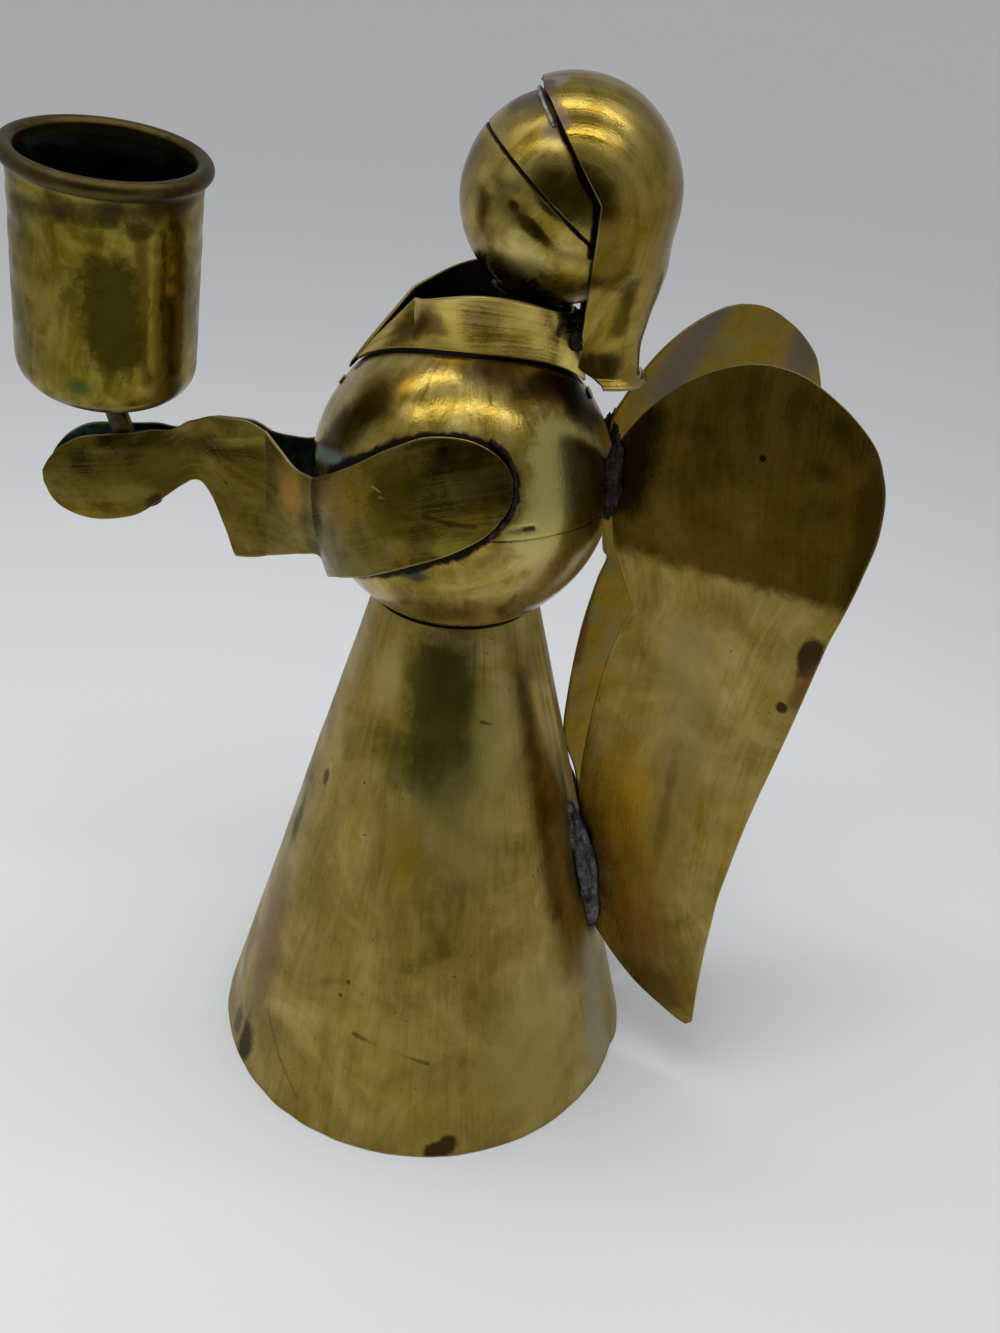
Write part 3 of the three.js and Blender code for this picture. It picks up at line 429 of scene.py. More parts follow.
@dataclass
class Bench:
    """Turns surfaces into Blender pieces.

    Attributes:
        finishes: the material of each slot.
        sooty: near-black solder, blackened by the flame and the dirt of a joint, and dark with the joint's
            painted shade.
    """

    finishes: dict[Slot, Material]
    sooty: Material

    def put(
        self, name: str, surface: Surface, slot: Slot, nodes: Iterable[str], look: Material | None = None
    ) -> None:
        """Makes one piece at the origin, welds its seams, faces it outwards and lets it ride on the part.

        Args:
            name: of the piece.
            surface: its shape, in millimetres.
            slot: the record's slot that it belongs to.
            nodes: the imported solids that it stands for.
            look: its material, where that isn't the slot's own.
        """
        mesh = bpy.data.meshes.new(name)
        mesh.from_pydata((surface.points * METRES).tolist(), [], surface.quads.tolist())
        flow = mesh.attributes.new("flow", "FLOAT_VECTOR", "POINT")
        flow.data.foreach_set("vector", np.ravel(surface.flow).astype(np.float32))
        dirt = np.zeros(len(surface.points)) if surface.dirt is None else surface.dirt
        for label, values in (("outer", surface.outer), ("rim", surface.rim), ("dirt", dirt)):
            layer = mesh.attributes.new(label, "FLOAT", "POINT")
            layer.data.foreach_set("value", values.astype(np.float32))
        self.weld(mesh)
        mesh.polygons.foreach_set("use_smooth", [True] * len(mesh.polygons))
        mesh.materials.append(look or self.finishes[slot])
        piece = bpy.data.objects.new(name, mesh)
        bpy.context.scene.collection.objects.link(piece)
        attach(piece, ROOT)
        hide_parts(*nodes)
        LOG.info("%s: %d faces, for %s", name, len(mesh.polygons), ", ".join(nodes))

    @staticmethod
    def weld(mesh: bpy.types.Mesh) -> None:
        """Joins the doubled seams and poles, and turns the faces outwards if they point in."""
        work = bmesh.new()
        work.from_mesh(mesh)
        bmesh.ops.remove_doubles(work, verts=work.verts, dist=DOUBLE)
        bmesh.ops.dissolve_degenerate(work, edges=work.edges, dist=DEGENERATE)
        if work.calc_volume(signed=True) < 0:
            bmesh.ops.reverse_faces(work, faces=work.faces)
        work.to_mesh(mesh)
        work.free()


# The part


@dataclass(frozen=True)
class Body:
    """The sizes that several parts share."""

    sheet: float = 0.8
    seat: float = 0.3
    foot_radius: float = 60.0
    waist_radius: float = 20.4
    skirt_height: float = 142.2
    chest_radius: float = 36.2
    ball_wall: float = 1.0
    neck_length: float = 9.0
    head_radius: float = 21.7
    head_set_back: float = math.radians(14.1)

    @property
    def chest_height(self) -> float:
        """Where the chest's centre comes when the ball rests on the skirt's top edge."""
        across = self.waist_radius - self.sheet
        return self.skirt_height + math.sqrt((self.chest_radius + self.seat) ** 2 - across**2)

    @property
    def chest_centre(self) -> Array:
        """The chest's centre."""
        return np.array([0.0, 0.0, self.chest_height])

    @property
    def neck_axis(self) -> Array:
        """The direction from the chest's centre to the head's."""
        return np.array([0.0, math.sin(self.head_set_back), math.cos(self.head_set_back)])

    @property
    def head_centre(self) -> Array:
        """The head's centre."""
        return self.chest_centre + self.neck_axis * (self.chest_radius + self.neck_length + self.head_radius)

    def skirt_radius_at(self, height: Array | float) -> Array | float:
        """The skirt's outer radius at a height, on a straight line from foot to waist."""
        return self.foot_radius + (self.waist_radius - self.foot_radius) * height / self.skirt_height

    def on_chest(self, x: Array | float, y: Array | float, standoff: float) -> Array:
        """The height of a point that stands off the chest ball by the given distance."""
        reach = (self.chest_radius + standoff) ** 2 - x * x - y * y
        return self.chest_height + np.sqrt(np.maximum(reach, 0.0))


@dataclass
class Skirt:
    """One sheet rolled into a cone, its ends lapped down the back, and the solder inside its top."""

    body: Body
    lap_width: float = 7.0
    lap_ramp: float = math.radians(7.0)
    lap_clear: float = math.radians(5.0)
    lap_gap: float = 0.1
    dent_depth: float = 0.16
    dents: tuple[Layer, ...] = ((0.8, 34.0, 1), (0.35, 11.0, 2))
    foot_wave: Layer = (0.12, 8.0, 3)
    foot_band: float = 7.0
    clearance: float = 0.02
    ring_width: float = 2.2
    ring_gap: float = 0.1
    ring_depth: float = 2.4
    ring_slope: float = 1.0
    ring_wave: tuple[float, float] = (0.25, 2.1)

    def surface(self) -> Surface:
        """The rolled sheet.

        At share v of the height and u round the roll, the angle starts half a lap before the back
        and runs a full turn and a lap. The radius is the cone's less half the sheet, and near the
        roll's end it rises by one sheet and a gap, so that this end lies over the start. Shallow
        dents draw the sheet in.
        """
        body = self.body
        v, u = np.meshgrid(shares(70, 0.004), shares(400, 0.002), indexing="ij")
        height = v * body.skirt_height
        cone = body.skirt_radius_at(height)
        half = self.lap_width / 2 / cone
        angle = QUARTER_TURN - half + u * (FULL_TURN + 2 * half)
        lap_start = QUARTER_TURN - half + FULL_TURN - self.lap_clear
        rise = smoothstep(angle - lap_start, -self.lap_ramp, 0.0)
        place = polar(cone, angle, height)
        hollow = np.maximum(self.dent_depth * (1.0 + relief(place, *self.dents)), 0.0)
        edge = (1 - smoothstep(height, 0.0, self.foot_band)) * relief(place, self.foot_wave)
        rolled = cone - body.sheet / 2 + rise * (body.sheet + self.lap_gap)
        radius = np.minimum(rolled - hollow * (1 - rise) + edge, rolled - self.clearance)
        shell = sheet_shell(polar(radius, angle, height), body.sheet)
        turn = np.arctan2(shell.points[:, 1], shell.points[:, 0])
        shell.flow = polar(body.foot_radius * GRAIN_REACH, turn, shell.points[:, 2])
        shell.points[:, 2] = np.maximum(shell.points[:, 2], 0.0)
        return shell.flipped()

    def ring_section(self) -> Array:
        """The solder's section: flat or under the chest above, sloping and wavy below."""
        body = self.body
        outer = body.waist_radius - body.sheet - body.seat
        radius = np.linspace(outer - self.ring_width, outer - self.ring_gap, 8)
        under_chest = body.chest_height - np.sqrt((body.chest_radius + body.seat) ** 2 - radius**2)
        upper = np.minimum(under_chest, body.skirt_height)
        share = (radius - radius[0]) / (outer - radius[0])
        wave, number = self.ring_wave
        lower = body.skirt_height - self.ring_depth - self.ring_slope * share - wave * np.sin(radius * number)
        return np.vstack([np.column_stack([radius, lower]), np.column_stack([radius, upper])[::-1]])

    def build(self, bench: Bench) -> None:
        """Adds the skirt, and the solder ring inside its top."""
        bench.put("skirt", self.surface(), Slot.SKIRT, ["skirt_cone"])
        ring = turned_shell(self.ring_section(), 160, closed=True)
        bench.put("waist_solder_run", ring, Slot.SOLDER, ["waist_solder"])


@dataclass(frozen=True)
class Crease:
    """A crease in a ball: the line that it follows, its width and its depth."""

    path: tuple[Point, ...]
    width: float
    depth: float


@dataclass
class Ball:
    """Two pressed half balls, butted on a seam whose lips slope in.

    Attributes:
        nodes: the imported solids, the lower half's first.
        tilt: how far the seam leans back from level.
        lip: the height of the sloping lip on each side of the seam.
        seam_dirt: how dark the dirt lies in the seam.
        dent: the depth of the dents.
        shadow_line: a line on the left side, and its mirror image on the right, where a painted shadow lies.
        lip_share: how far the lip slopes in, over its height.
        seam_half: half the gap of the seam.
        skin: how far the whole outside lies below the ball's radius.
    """

    body: Body
    name: str
    nodes: tuple[str, str]
    centre: Array
    radius: float
    tilt: float
    lip: float
    seam_dirt: float
    dent: float
    dent_size: float
    seed: int
    creases: tuple[Crease, ...]
    shadow_line: Array
    shadow_width: float = 1.3
    lip_share: float = 0.6
    seam_half: float = 0.03
    skin: float = 0.02

    def half(self, upper: bool) -> Surface:
        """One half: its outside from the pole down to the lip, then the inside back up.

        The outside is a sphere pushed in by a ripple and by the creases.
        """
        rows = QUARTER_TURN - (QUARTER_TURN - self.lip / self.radius) * shares(90)
        outside = self.radius * np.column_stack([np.cos(rows), np.sin(rows)])
        drop = np.sin(np.linspace(QUARTER_TURN, 0.0, 9)[1:])
        lip_across = self.radius - self.lip * self.lip_share * (1 - drop)
        lip = np.column_stack([lip_across, np.maximum(self.lip * drop, self.seam_half)])
        inside = arc(self.radius - self.body.ball_wall, self.seam_half / self.radius, QUARTER_TURN, 40)
        shown = np.repeat([1.0, 0.0], [len(outside) + len(lip), len(inside)])
        shell = turned_shell(np.vstack([outside, lip, inside]), 240, shown)
        if not upper:
            shell.points = shell.points * np.array([1.0, 1.0, -1.0])
        dirt = 1 - smoothstep(np.abs(shell.points[:, 2]), 0.4 * self.lip, 1.8 * self.lip)
        dents = relief(shell.points + 200.0 * self.seed, (self.dent, self.dent_size, self.seed))
        inward = np.minimum(dents, 0.0) - self.skin
        shell = shell.moved(self.centre, about_x(-self.tilt)).soiled_and_shaded(dirt * self.seam_dirt)
        for crease in self.creases:
            inward = inward - crease.depth * valley(shell.points, crease.path, crease.width)
        out = unit(shell.points - self.centre)
        shell.points = shell.points + out * (inward * shell.outer)[:, None]
        return shell

    def build(self, bench: Bench) -> None:
        """Adds both halves."""
        for node, label in zip(self.nodes, ("lower", "upper")):
            shell = self.half(label == "upper")
            bench.put(f"{self.name}_{label}", shell.soiled_and_shaded(self.dirt_and_shadow_marks(shell.points)), Slot.BALL, [node])

    def dirt_and_shadow_marks(self, points: Array) -> Array:
        """Painted shadow besides the seam: along the shadow line on each side, laid on the ball."""
        line = self.centre + self.radius * unit(self.shadow_line - self.centre)
        mirrored = points * np.where(points[:, :1] < 0, [-1.0, 1.0, 1.0], 1.0)
        return 0.95 * valley(mirrored, line, self.shadow_width)


@dataclass
class Chest(Ball):
    """The chest, with painted shade black inside the collar and a painted shadow along the edge of the
    shoulder pads.
    """

    collar_shadow_fade: tuple[float, float] = (-1.3, 0.6)

    def dirt_and_shadow_marks(self, points: Array) -> Array:
        """Painted shadow along the pads' edges, and painted shade inside the collar.

        The collar is a pointed oval, whose half width is w (1 - (y / l) squared).
        """
        x, y, z = (points - self.centre).T
        half = Collar.half_width * (1 - (y / Collar.half_length) ** 2)
        near = (z > 0) * (np.abs(y) < Collar.half_length + 1)
        # painted shade: the chest turns black inside the collar
        inside = smoothstep(half - np.abs(x), *self.collar_shadow_fade) * near
        return np.maximum(inside, super().dirt_and_shadow_marks(points))


@dataclass
class Neck:
    """A short tube between the two balls, with a solder fillet at each end."""

    body: Body
    radius: float = 6.0
    wall: float = 1.0
    tube_sink: float = 0.35
    fillet_leg: float = 2.3
    fillet_gap: float = 0.1
    fillet_sink: float = 0.9
    fillet_lift: float = 0.5

    def build(self, bench: Bench) -> None:
        """Adds the tube and the fillets, all turned about the line through the balls' centres."""
        body, leg = self.body, self.fillet_leg
        head = body.chest_radius + body.neck_length
        inner, low, high = self.radius - self.wall, body.chest_radius - self.tube_sink, head + self.tube_sink
        tube = np.array([[inner, low], [self.radius, low], [self.radius, high], [inner, high]])
        swing = np.linspace(0.0, QUARTER_TURN, 9)
        skin, foot = self.radius + self.fillet_gap, body.chest_radius - self.fillet_sink
        curve = np.column_stack([skin + leg * (1 - np.sin(swing)), leg * (1 - np.cos(swing))])
        raised = curve + [0.0, foot + self.fillet_lift]
        lower = np.vstack([raised, [[skin, foot], [self.radius + leg, foot]]])
        upper = lower * [1.0, -1.0] + [0.0, foot + head + self.fillet_sink]
        turn = turn_to(body.neck_axis)
        for name, section, slot, node, look in (
            ("neck", tube, Slot.ROD, "neck_tube", None),
            ("neck_solder_foot", lower, Slot.SOLDER, "neck_solder_lower", bench.sooty),
            ("neck_solder_head", upper, Slot.SOLDER, "neck_solder_upper", bench.sooty),
        ):
            shell = turned_shell(section, 96, closed=True).moved(body.chest_centre, turn)
            bench.put(name, shell, slot, [node], look)


@dataclass
class Collar:
    """A band that stands on the chest, its front ends cut back to points that meet at the front."""

    body: Body
    half_width: float = 14.2
    half_length: float = 26.0
    top_half_width: float = 19.0
    top_half_length: float = 17.5
    top_set_back: float = 4.0
    rise: float = 11.3
    sag: float = 0.0175
    cut: float = math.radians(61.0)
    top_cut: float = math.radians(13.7)
    standoff: float = 0.8
    right_tip: float = 2.0
    slit: float = math.radians(1.2)
    wave: Layer = (0.12, 13.0, 5)
    lump_depth: float = 1.4
    lump_place: float = 0.985
    lump_standoff: float = 0.26
    lump_radii: tuple[float, float] = (1.15, 0.24)

    def low_edge(self, angle: Array, side: Array) -> Array:
        """The bottom edge: a pointed oval, half width times the sine squared, laid on the chest."""
        x = side * self.half_width * np.sin(angle) ** 2
        y = -self.half_length * np.cos(angle) - self.longer_tip(angle, side)
        return np.stack([x, y, self.body.on_chest(x, y, self.standoff)], axis=-1)

    def longer_tip(self, angle: Array, side: Array) -> Array:
        """How much further forward the right end runs, by the eighth power of the cosine."""
        return np.where(side > 0, 0.0, self.right_tip * np.maximum(0.0, np.cos(angle)) ** 8)

    def top_edge(self, angle: Array, side: Array) -> Array:
        """The top edge: an oval above the chest whose height falls with the square before and behind."""
        turn = self.top_cut + (angle - self.cut) * (math.pi - self.top_cut) / (math.pi - self.cut)
        x = side * self.top_half_width * np.sin(turn)
        ahead = self.top_half_length * np.cos(turn)
        z = self.body.chest_height + self.body.chest_radius + self.rise - self.sag * ahead**2
        return np.stack([x, self.top_set_back - ahead - self.longer_tip(turn, side), z], axis=-1)

    def surface(self) -> Surface:
        """The band: straight lines from the bottom edge up to the top edge or the sloping cut."""
        u, v = np.meshgrid(shares(420, 0.003), shares(22, 0.04), indexing="ij")
        turn = self.slit + u * (FULL_TURN - 2 * self.slit)
        side = np.where(turn <= math.pi, 1.0, -1.0)
        angle = np.minimum(turn, FULL_TURN - turn)
        low = self.low_edge(angle, side)
        tip = self.low_edge(np.full_like(angle, self.slit), side) + self.body.sheet * UP
        cut_top = self.top_edge(np.full_like(angle, self.cut), side)
        sloping = lerp(tip, cut_top, (angle / self.cut)[..., None])
        top = np.where((angle < self.cut)[..., None], sloping, self.top_edge(angle, side))
        middle = lerp(low, top, v[..., None])
        x = middle[..., 0].copy()
        middle[..., 0] += relief(middle, self.wave) * np.sign(x) * smoothstep(np.abs(x), 2.0, 8.0)
        return sheet_shell(middle, self.body.sheet)

    def build(self, bench: Bench) -> None:
        """Adds the band and the two lumps that hold its ends."""
        bench.put("collar", self.surface(), Slot.COLLAR, ["collar_band"])
        body = self.body
        beside = body.sheet / 2 + body.seat + self.lump_depth
        for name, y, wide, node in (
            ("collar_lump_front", -self.half_length - self.right_tip - beside, 2.0, "collar_solder_front"),
            ("collar_lump_back", self.half_length + beside, 3.0, "collar_solder_back"),
        ):
            nearer = y * self.lump_place
            height = float(body.on_chest(0.0, nearer, self.lump_standoff))
            turn = about_x(-math.asin(nearer / body.chest_radius))
            lump = lump_shell([wide, *self.lump_radii], 7).moved([0.0, nearer, height], turn)
            bench.put(name, lump, Slot.SOLDER, [node], bench.finishes[Slot.BALL])


@dataclass
class Hair:
    """A hood over the back of the head with a flicked tail, cut open at the front."""

    body: Body
    standoff: float = 1.7
    set_back: float = 2.15
    rise: float = 1.5
    edge_setback: float = 5.1
    edge_slope: float = 0.687
    edge_bend: float = 1.5
    length: float = 38.0
    half_width: float = 10.5
    depth: float = 14.0
    flick: float = 4.0
    corner: float = 0.26
    hood_wave: Layer = (0.10, 12.0, 9)
    tail_wave: Layer = (0.22, 9.0, 10)
    lump_radii: Point = (1.2, 1.5, 2.3)
    lump_place: float = 0.75
    run_radius: float = 0.45
    run_start: float = math.radians(-14.0)
    run_end: float = math.radians(46.0)

    @property
    def radius(self) -> float:
        """The hood's outer radius."""
        return self.body.head_radius + self.standoff

    @property
    def centre(self) -> Array:
        """The hood's centre."""
        return self.body.head_centre + np.array([0.0, self.set_back, self.rise])

    def hood(self, share: Array, across: Array) -> Array:
        """The hood above its centre, in half planes that turn about the X axis.

        A half plane at angle f meets the edge's line at some distance d from the axis, and its half
        circle of radius r runs between the two points where r times the cosine equals d.
        """
        radius = self.radius - self.body.sheet / 2
        slope, bend, back = self.edge_slope, self.edge_bend, self.edge_setback
        norm = math.hypot(1.0, slope)
        offset = (back + slope * bend) / norm
        lean = math.atan2(slope, 1.0)
        first = lean + math.acos(offset / (radius * math.cos(0.03)))
        angle = first * (1 - share)
        sloping = offset / np.cos(angle - lean)
        upright = back / np.maximum(np.cos(angle), 1e-6)
        distance = np.where(sloping * np.sin(angle) > bend, sloping, upright)
        reach = np.arccos(np.clip(distance / radius, -1.0, 1.0)) * across
        ahead = radius * np.cos(reach)
        return np.stack([radius * np.sin(reach), ahead * np.cos(angle), ahead * np.sin(angle)], axis=-1)

    def tail(self, below: Array, across: Array) -> Array:
        """The hood below its centre and the tail, in level sections.

        A section blends from the ball's circle to a half superellipse about the edge's plane, whose
        half width and depth follow a spline down the tail and flare at the tip.
        """
        radius, back = self.radius - self.body.sheet / 2, self.edge_setback
        ring = np.sqrt(np.maximum(radius**2 - below**2, back**2 + 9.0))
        swing = np.arccos(back / ring) * across
        round_part = np.stack([ring * np.sin(swing), ring * np.cos(swing), -below], axis=-1)
        table = np.array(
            [
                [0.0, radius - 0.6, radius - back],
                [0.24, radius - 3.0, radius - back - 0.1],
                [0.45, self.half_width + 4.1, self.depth + 2.2],
                [0.66, self.half_width + 0.6, self.depth + 0.5],
                [0.83, self.half_width - 0.4, self.depth - 0.4],
                [0.93, self.half_width, self.depth - 0.1],
                [0.976, self.half_width + 1.2, self.depth + 1.0],
                [1.0, self.half_width + 2.6, self.depth + 2.4],
            ]
        )
        share = below / self.length
        fine = np.linspace(0.0, 1.0, 400)
        curve = spline(table, fine, True)
        wide = np.interp(share, curve[:, 0], curve[:, 1])
        deep = np.interp(share, curve[:, 0], curve[:, 2])
        power = 1.0 - self.corner * smoothstep(share, 0.3, 0.75)
        edge = 1.5 * self.flick * smoothstep(below, self.length - self.flick, self.length)
        limit = np.arccos(np.clip((edge / deep) ** (1 / power), 0.0, 1.0))
        turn = limit * across
        x = wide * np.sign(turn) * np.abs(np.sin(turn)) ** power
        y = back + deep * np.abs(np.cos(turn)) ** power
        tail_part = np.stack([x, y, -below], axis=-1)
        return lerp(round_part, tail_part, smoothstep(share, 0.0, 0.42)[..., None])

    def surface(self) -> Surface:
        """The hood's rows from the front over the top, then the level rows down to the flicked tip."""
        across = 2 * shares(150, 0.006) - 1
        hood = self.hood(*np.meshgrid(np.linspace(0.0, 1.0, 120), across, indexing="ij"))
        blade, tip = np.linspace(0.0, 0.9, 110)[1:], np.linspace(0.9, 0.99, 40)[1:]
        down = self.length * np.concatenate([blade, tip, [1.0]])
        tail = self.tail(*np.meshgrid(down, across, indexing="ij"))
        middle = np.concatenate([hood, tail])
        share = smoothstep(-middle[..., 2], 12.0, 26.0)
        wave = relief(middle, self.hood_wave) + share * relief(middle, self.tail_wave)
        middle = middle + unit(middle * LEVEL) * wave[..., None]
        return sheet_shell(middle + self.centre, self.body.sheet, 0.25)

    def build(self, bench: Bench) -> None:
        """Adds the hair, the lumps beside its tail and the run of solder on the head."""
        bench.put("hair", self.surface().flipped(), Slot.HAIR, ["hair_hood"])
        low = self.centre[2] - self.lump_place * self.length
        edge = self.centre[1] + self.edge_setback
        for side in Side:
            place = [side.value * (self.half_width - 0.3), edge - 0.9, low]
            lump = lump_shell(self.lump_radii, 20 + side.value, rough=0.25).moved(place)
            node = f"{side.label}_hair_solder"
            bench.put(f"hair_lump_{side.label}", lump, Slot.SOLDER, [node], bench.sooty)
        bench.put("hair_run", self.run(), Slot.SOLDER, ["hair_solder_top"])

    def run(self) -> Surface:
        """The silver run on the head along the hood's edge, on the circle where the edge's plane cuts it."""
        body, radius = self.body, self.run_radius
        normal = unit(np.array([0.0, 1.0, self.edge_slope]))
        forward = np.array([0.0, -normal[2], normal[1]])
        offset = normal[1] * (self.set_back + self.edge_setback) + normal[2] * self.rise
        ahead = offset - body.seat - radius
        reach = math.sqrt(body.head_radius**2 - ahead**2) + radius * 0.3
        angle = np.linspace(self.run_start, self.run_end, 120)[:, None]
        circle = forward * np.cos(angle) + np.array([1.0, 0.0, 0.0]) * np.sin(angle)
        return wire_shell(body.head_centre + normal * ahead + reach * circle, radius, 12)


@dataclass
class Arms:
    """One folded sheet each: a shoulder pad on the chest, a forearm and a palm beside the rod."""

    body: Body
    pad_bow: float = 13.0
    pad_sweep: float = math.radians(85.0)
    elbow_angle: float = math.radians(66.0)
    elbow_spread: float = 13.0
    hand_reach: float = 53.78
    wrist_drop: float = 2.0
    hand_rise: float = 1.2
    rod_radius: float = 2.5
    cupping: float = 1.3
    dent: float = 0.22
    dent_size: float = 10.0
    solder_radius: float = 0.7
    # Stage, then the lower and the upper edge as heights over the chest's centre. Stage -1 is the
    # pad's end, 0 the elbow fold, 1 the wrist and 2 the finger tips.
    stations: tuple[tuple[float, float, float], ...] = (
        (-1, 9.5, 14),
        (-0.973, 6.3, 16.6),
        (-0.909, 1.9, 19.6),
        (-0.8, -2.3, 21.6),
        (-0.635, -7, 21.1),
        (-0.488, -11.2, 17.7),
        (-0.306, -16, 11.3),
        (-0.141, -19.8, 6),
        (-0.0164, -22.9, 2.7),
        (-0.009, -23.1, 2.5),
        (0.028, -17.9, 2.3),
        (0.35, -19.4, 2.4),
        (0.7, -22, 5.2),
        (1, -24.1, 7.9),
        (1.074, -25, 10),
        (1.141, -25.2, 10.4),
        (1.149, -25, 10.4),
        (1.195, -17, 10.4),
        (1.249, -9.4, 10.2),
        (1.297, -6, 9.3),
        (1.342, -6.2, 8.5),
        (1.416, -9.2, 6),
        (1.502, -13, 5.6),
        (1.595, -16.4, 4.4),
        (1.706, -18.1, 3.5),
        (1.818, -18.2, 2.2),
        (1.911, -16.6, -0.8),
        (1.967, -14, -4),
        (2, -9.8, -7),
    )

    @property
    def pad_radius(self) -> float:
        """From the chest's axis to the middle of the pad's sheet."""
        return self.body.chest_radius + self.body.seat + self.body.sheet / 2

    @property
    def palm_offset(self) -> float:
        """From the middle plane to the middle of the palm's sheet."""
        return self.rod_radius + self.body.seat + self.body.sheet / 2

    @property
    def elbow(self) -> Array:
        """The elbow fold at the height of the chest's centre, seen from above."""
        return self.pad_radius * np.array([math.cos(self.elbow_angle), -math.sin(self.elbow_angle)])

    @property
    def wrist_y(self) -> float:
        """How far forward the ramp brings the sheet beside the rod."""
        return float(self.elbow[1]) - self.elbow_spread

    @property
    def ramp(self) -> float:
        """The forearm's length from the fold to where it runs straight."""
        return math.hypot(self.elbow[0] - self.palm_offset, self.elbow_spread)

    def along_at(self, stage: Array) -> Array:
        """The distance along the arm at a stage, from the elbow fold, forwards positive."""
        reach = self.pad_sweep * self.pad_radius
        forward = np.minimum(stage, 1) * self.ramp + np.maximum(0, stage - 1) * self.hand_reach
        return np.where(stage < 0, stage * reach, forward)

    def stage_at(self, along: Array) -> Array:
        """The stage at a distance along the arm."""
        reach = self.pad_sweep * self.pad_radius
        forward = np.minimum(1, along / self.ramp) + np.maximum(0, along - self.ramp) / self.hand_reach
        return np.where(along < 0, along / reach, forward)

    def place(self, along: Array, height: Array) -> Array:
        """A point of the left arm: round the chest on a bowed pad, in on a ramp, then straight on."""
        bow = self.pad_radius * np.sqrt(1 - (height / (self.pad_radius + self.pad_bow)) ** 2)
        z = self.body.chest_height + height
        angle = self.elbow_angle + np.minimum(along, 0.0) / self.pad_radius
        x, y = bow * np.cos(angle), -bow * np.sin(angle)
        share = np.clip(along / self.ramp, 0.0, 1.0)
        x = lerp(x, np.full_like(x, self.palm_offset), share)
        y = lerp(y, np.full_like(y, self.wrist_y), share) - np.maximum(0.0, along - self.ramp)
        return np.stack([x, y, z], axis=-1)

    def surface(self, side: Side) -> Surface:
        """The arm's sheet between its two edge curves, with a cupped hand and hammered dents."""
        table = np.array(self.stations, float)
        table[:, 0] = self.along_at(table[:, 0])
        curve = spline(table, shares(460, 0.0015), True)
        share = shares(34, 0.022)[None, :]
        along = np.repeat(curve[:, :1], share.shape[1], axis=1)
        height = lerp(curve[:, 1:2], curve[:, 2:3], share)
        stage = self.stage_at(along)
        if side is Side.RIGHT:
            wrist = smoothstep(stage, 0.2, 1.0) * (1 - smoothstep(stage, 1.3, 1.6))
            height = height + self.hand_rise * smoothstep(stage, 1.5, 1.9) - self.wrist_drop * wrist
        points = self.place(along, height)
        palm = smoothstep(stage, 1.45, 1.62)
        swell = 1.0 - (2 * share - 1) ** 2
        ends = 1.0 - smoothstep(stage, 1.86, 2.0)
        points[..., 0] += self.cupping * palm * swell * ends
        free = smoothstep(np.abs(stage), 0.05, 0.4)
        points[..., 0] += free * relief(points, (self.dent, self.dent_size, 14 + side.value))
        points[..., 0] *= side.value
        shell = sheet_shell(points, self.body.sheet)
        return shell.flipped() if side is Side.LEFT else shell

    def build(self, bench: Bench) -> None:
        """Adds both arms and the solder round their pads."""
        for side in Side:
            bench.put(f"arm_{side.label}", self.surface(side), Slot.ARM, [f"{side.label}_arm"])
            # the run round the pad's end is near black: painted shade in the corner under the pad
            run, node = self.solder(side), f"{side.label}_shoulder_solder"
            bench.put(f"shoulder_run_{side.label}", run, Slot.SOLDER, [node], bench.sooty)

    def pad_edge(self) -> Array:
        """The left pad's outline, from under the elbow round its end to the top."""
        table = np.array([row for row in self.stations if row[0] < -0.12], float)
        stage = np.concatenate([table[::-1, 0], table[:, 0]])
        height = np.concatenate([table[::-1, 1], table[:, 2]])
        return self.place(self.along_at(stage), height)

    def solder(self, side: Side) -> Surface:
        """A run of solder in the corner between the pad's rounded end and the chest."""
        reach = self.body.chest_radius + 0.4
        outline = np.array(
            [[-0.909, 0.6], [-0.973, 5.0], [-1.0, 9.5], [-1.0, 14.0], [-0.973, 17.9], [-0.909, 20.9]]
        )
        curve = spline(outline, np.linspace(0, 1, 120), True)
        past = 0.9 * smoothstep(-curve[:, 0], 0.93, 0.99)
        angle = self.elbow_angle + (self.along_at(curve[:, 0]) - past) / self.pad_radius
        across = np.sqrt(reach**2 - curve[:, 1] ** 2)
        x, y = side.value * across * np.cos(angle), -across * np.sin(angle)
        path = np.column_stack([x, y, self.body.chest_height + curve[:, 1]])
        return wire_shell(path, self.solder_radius, 30 + side.value)


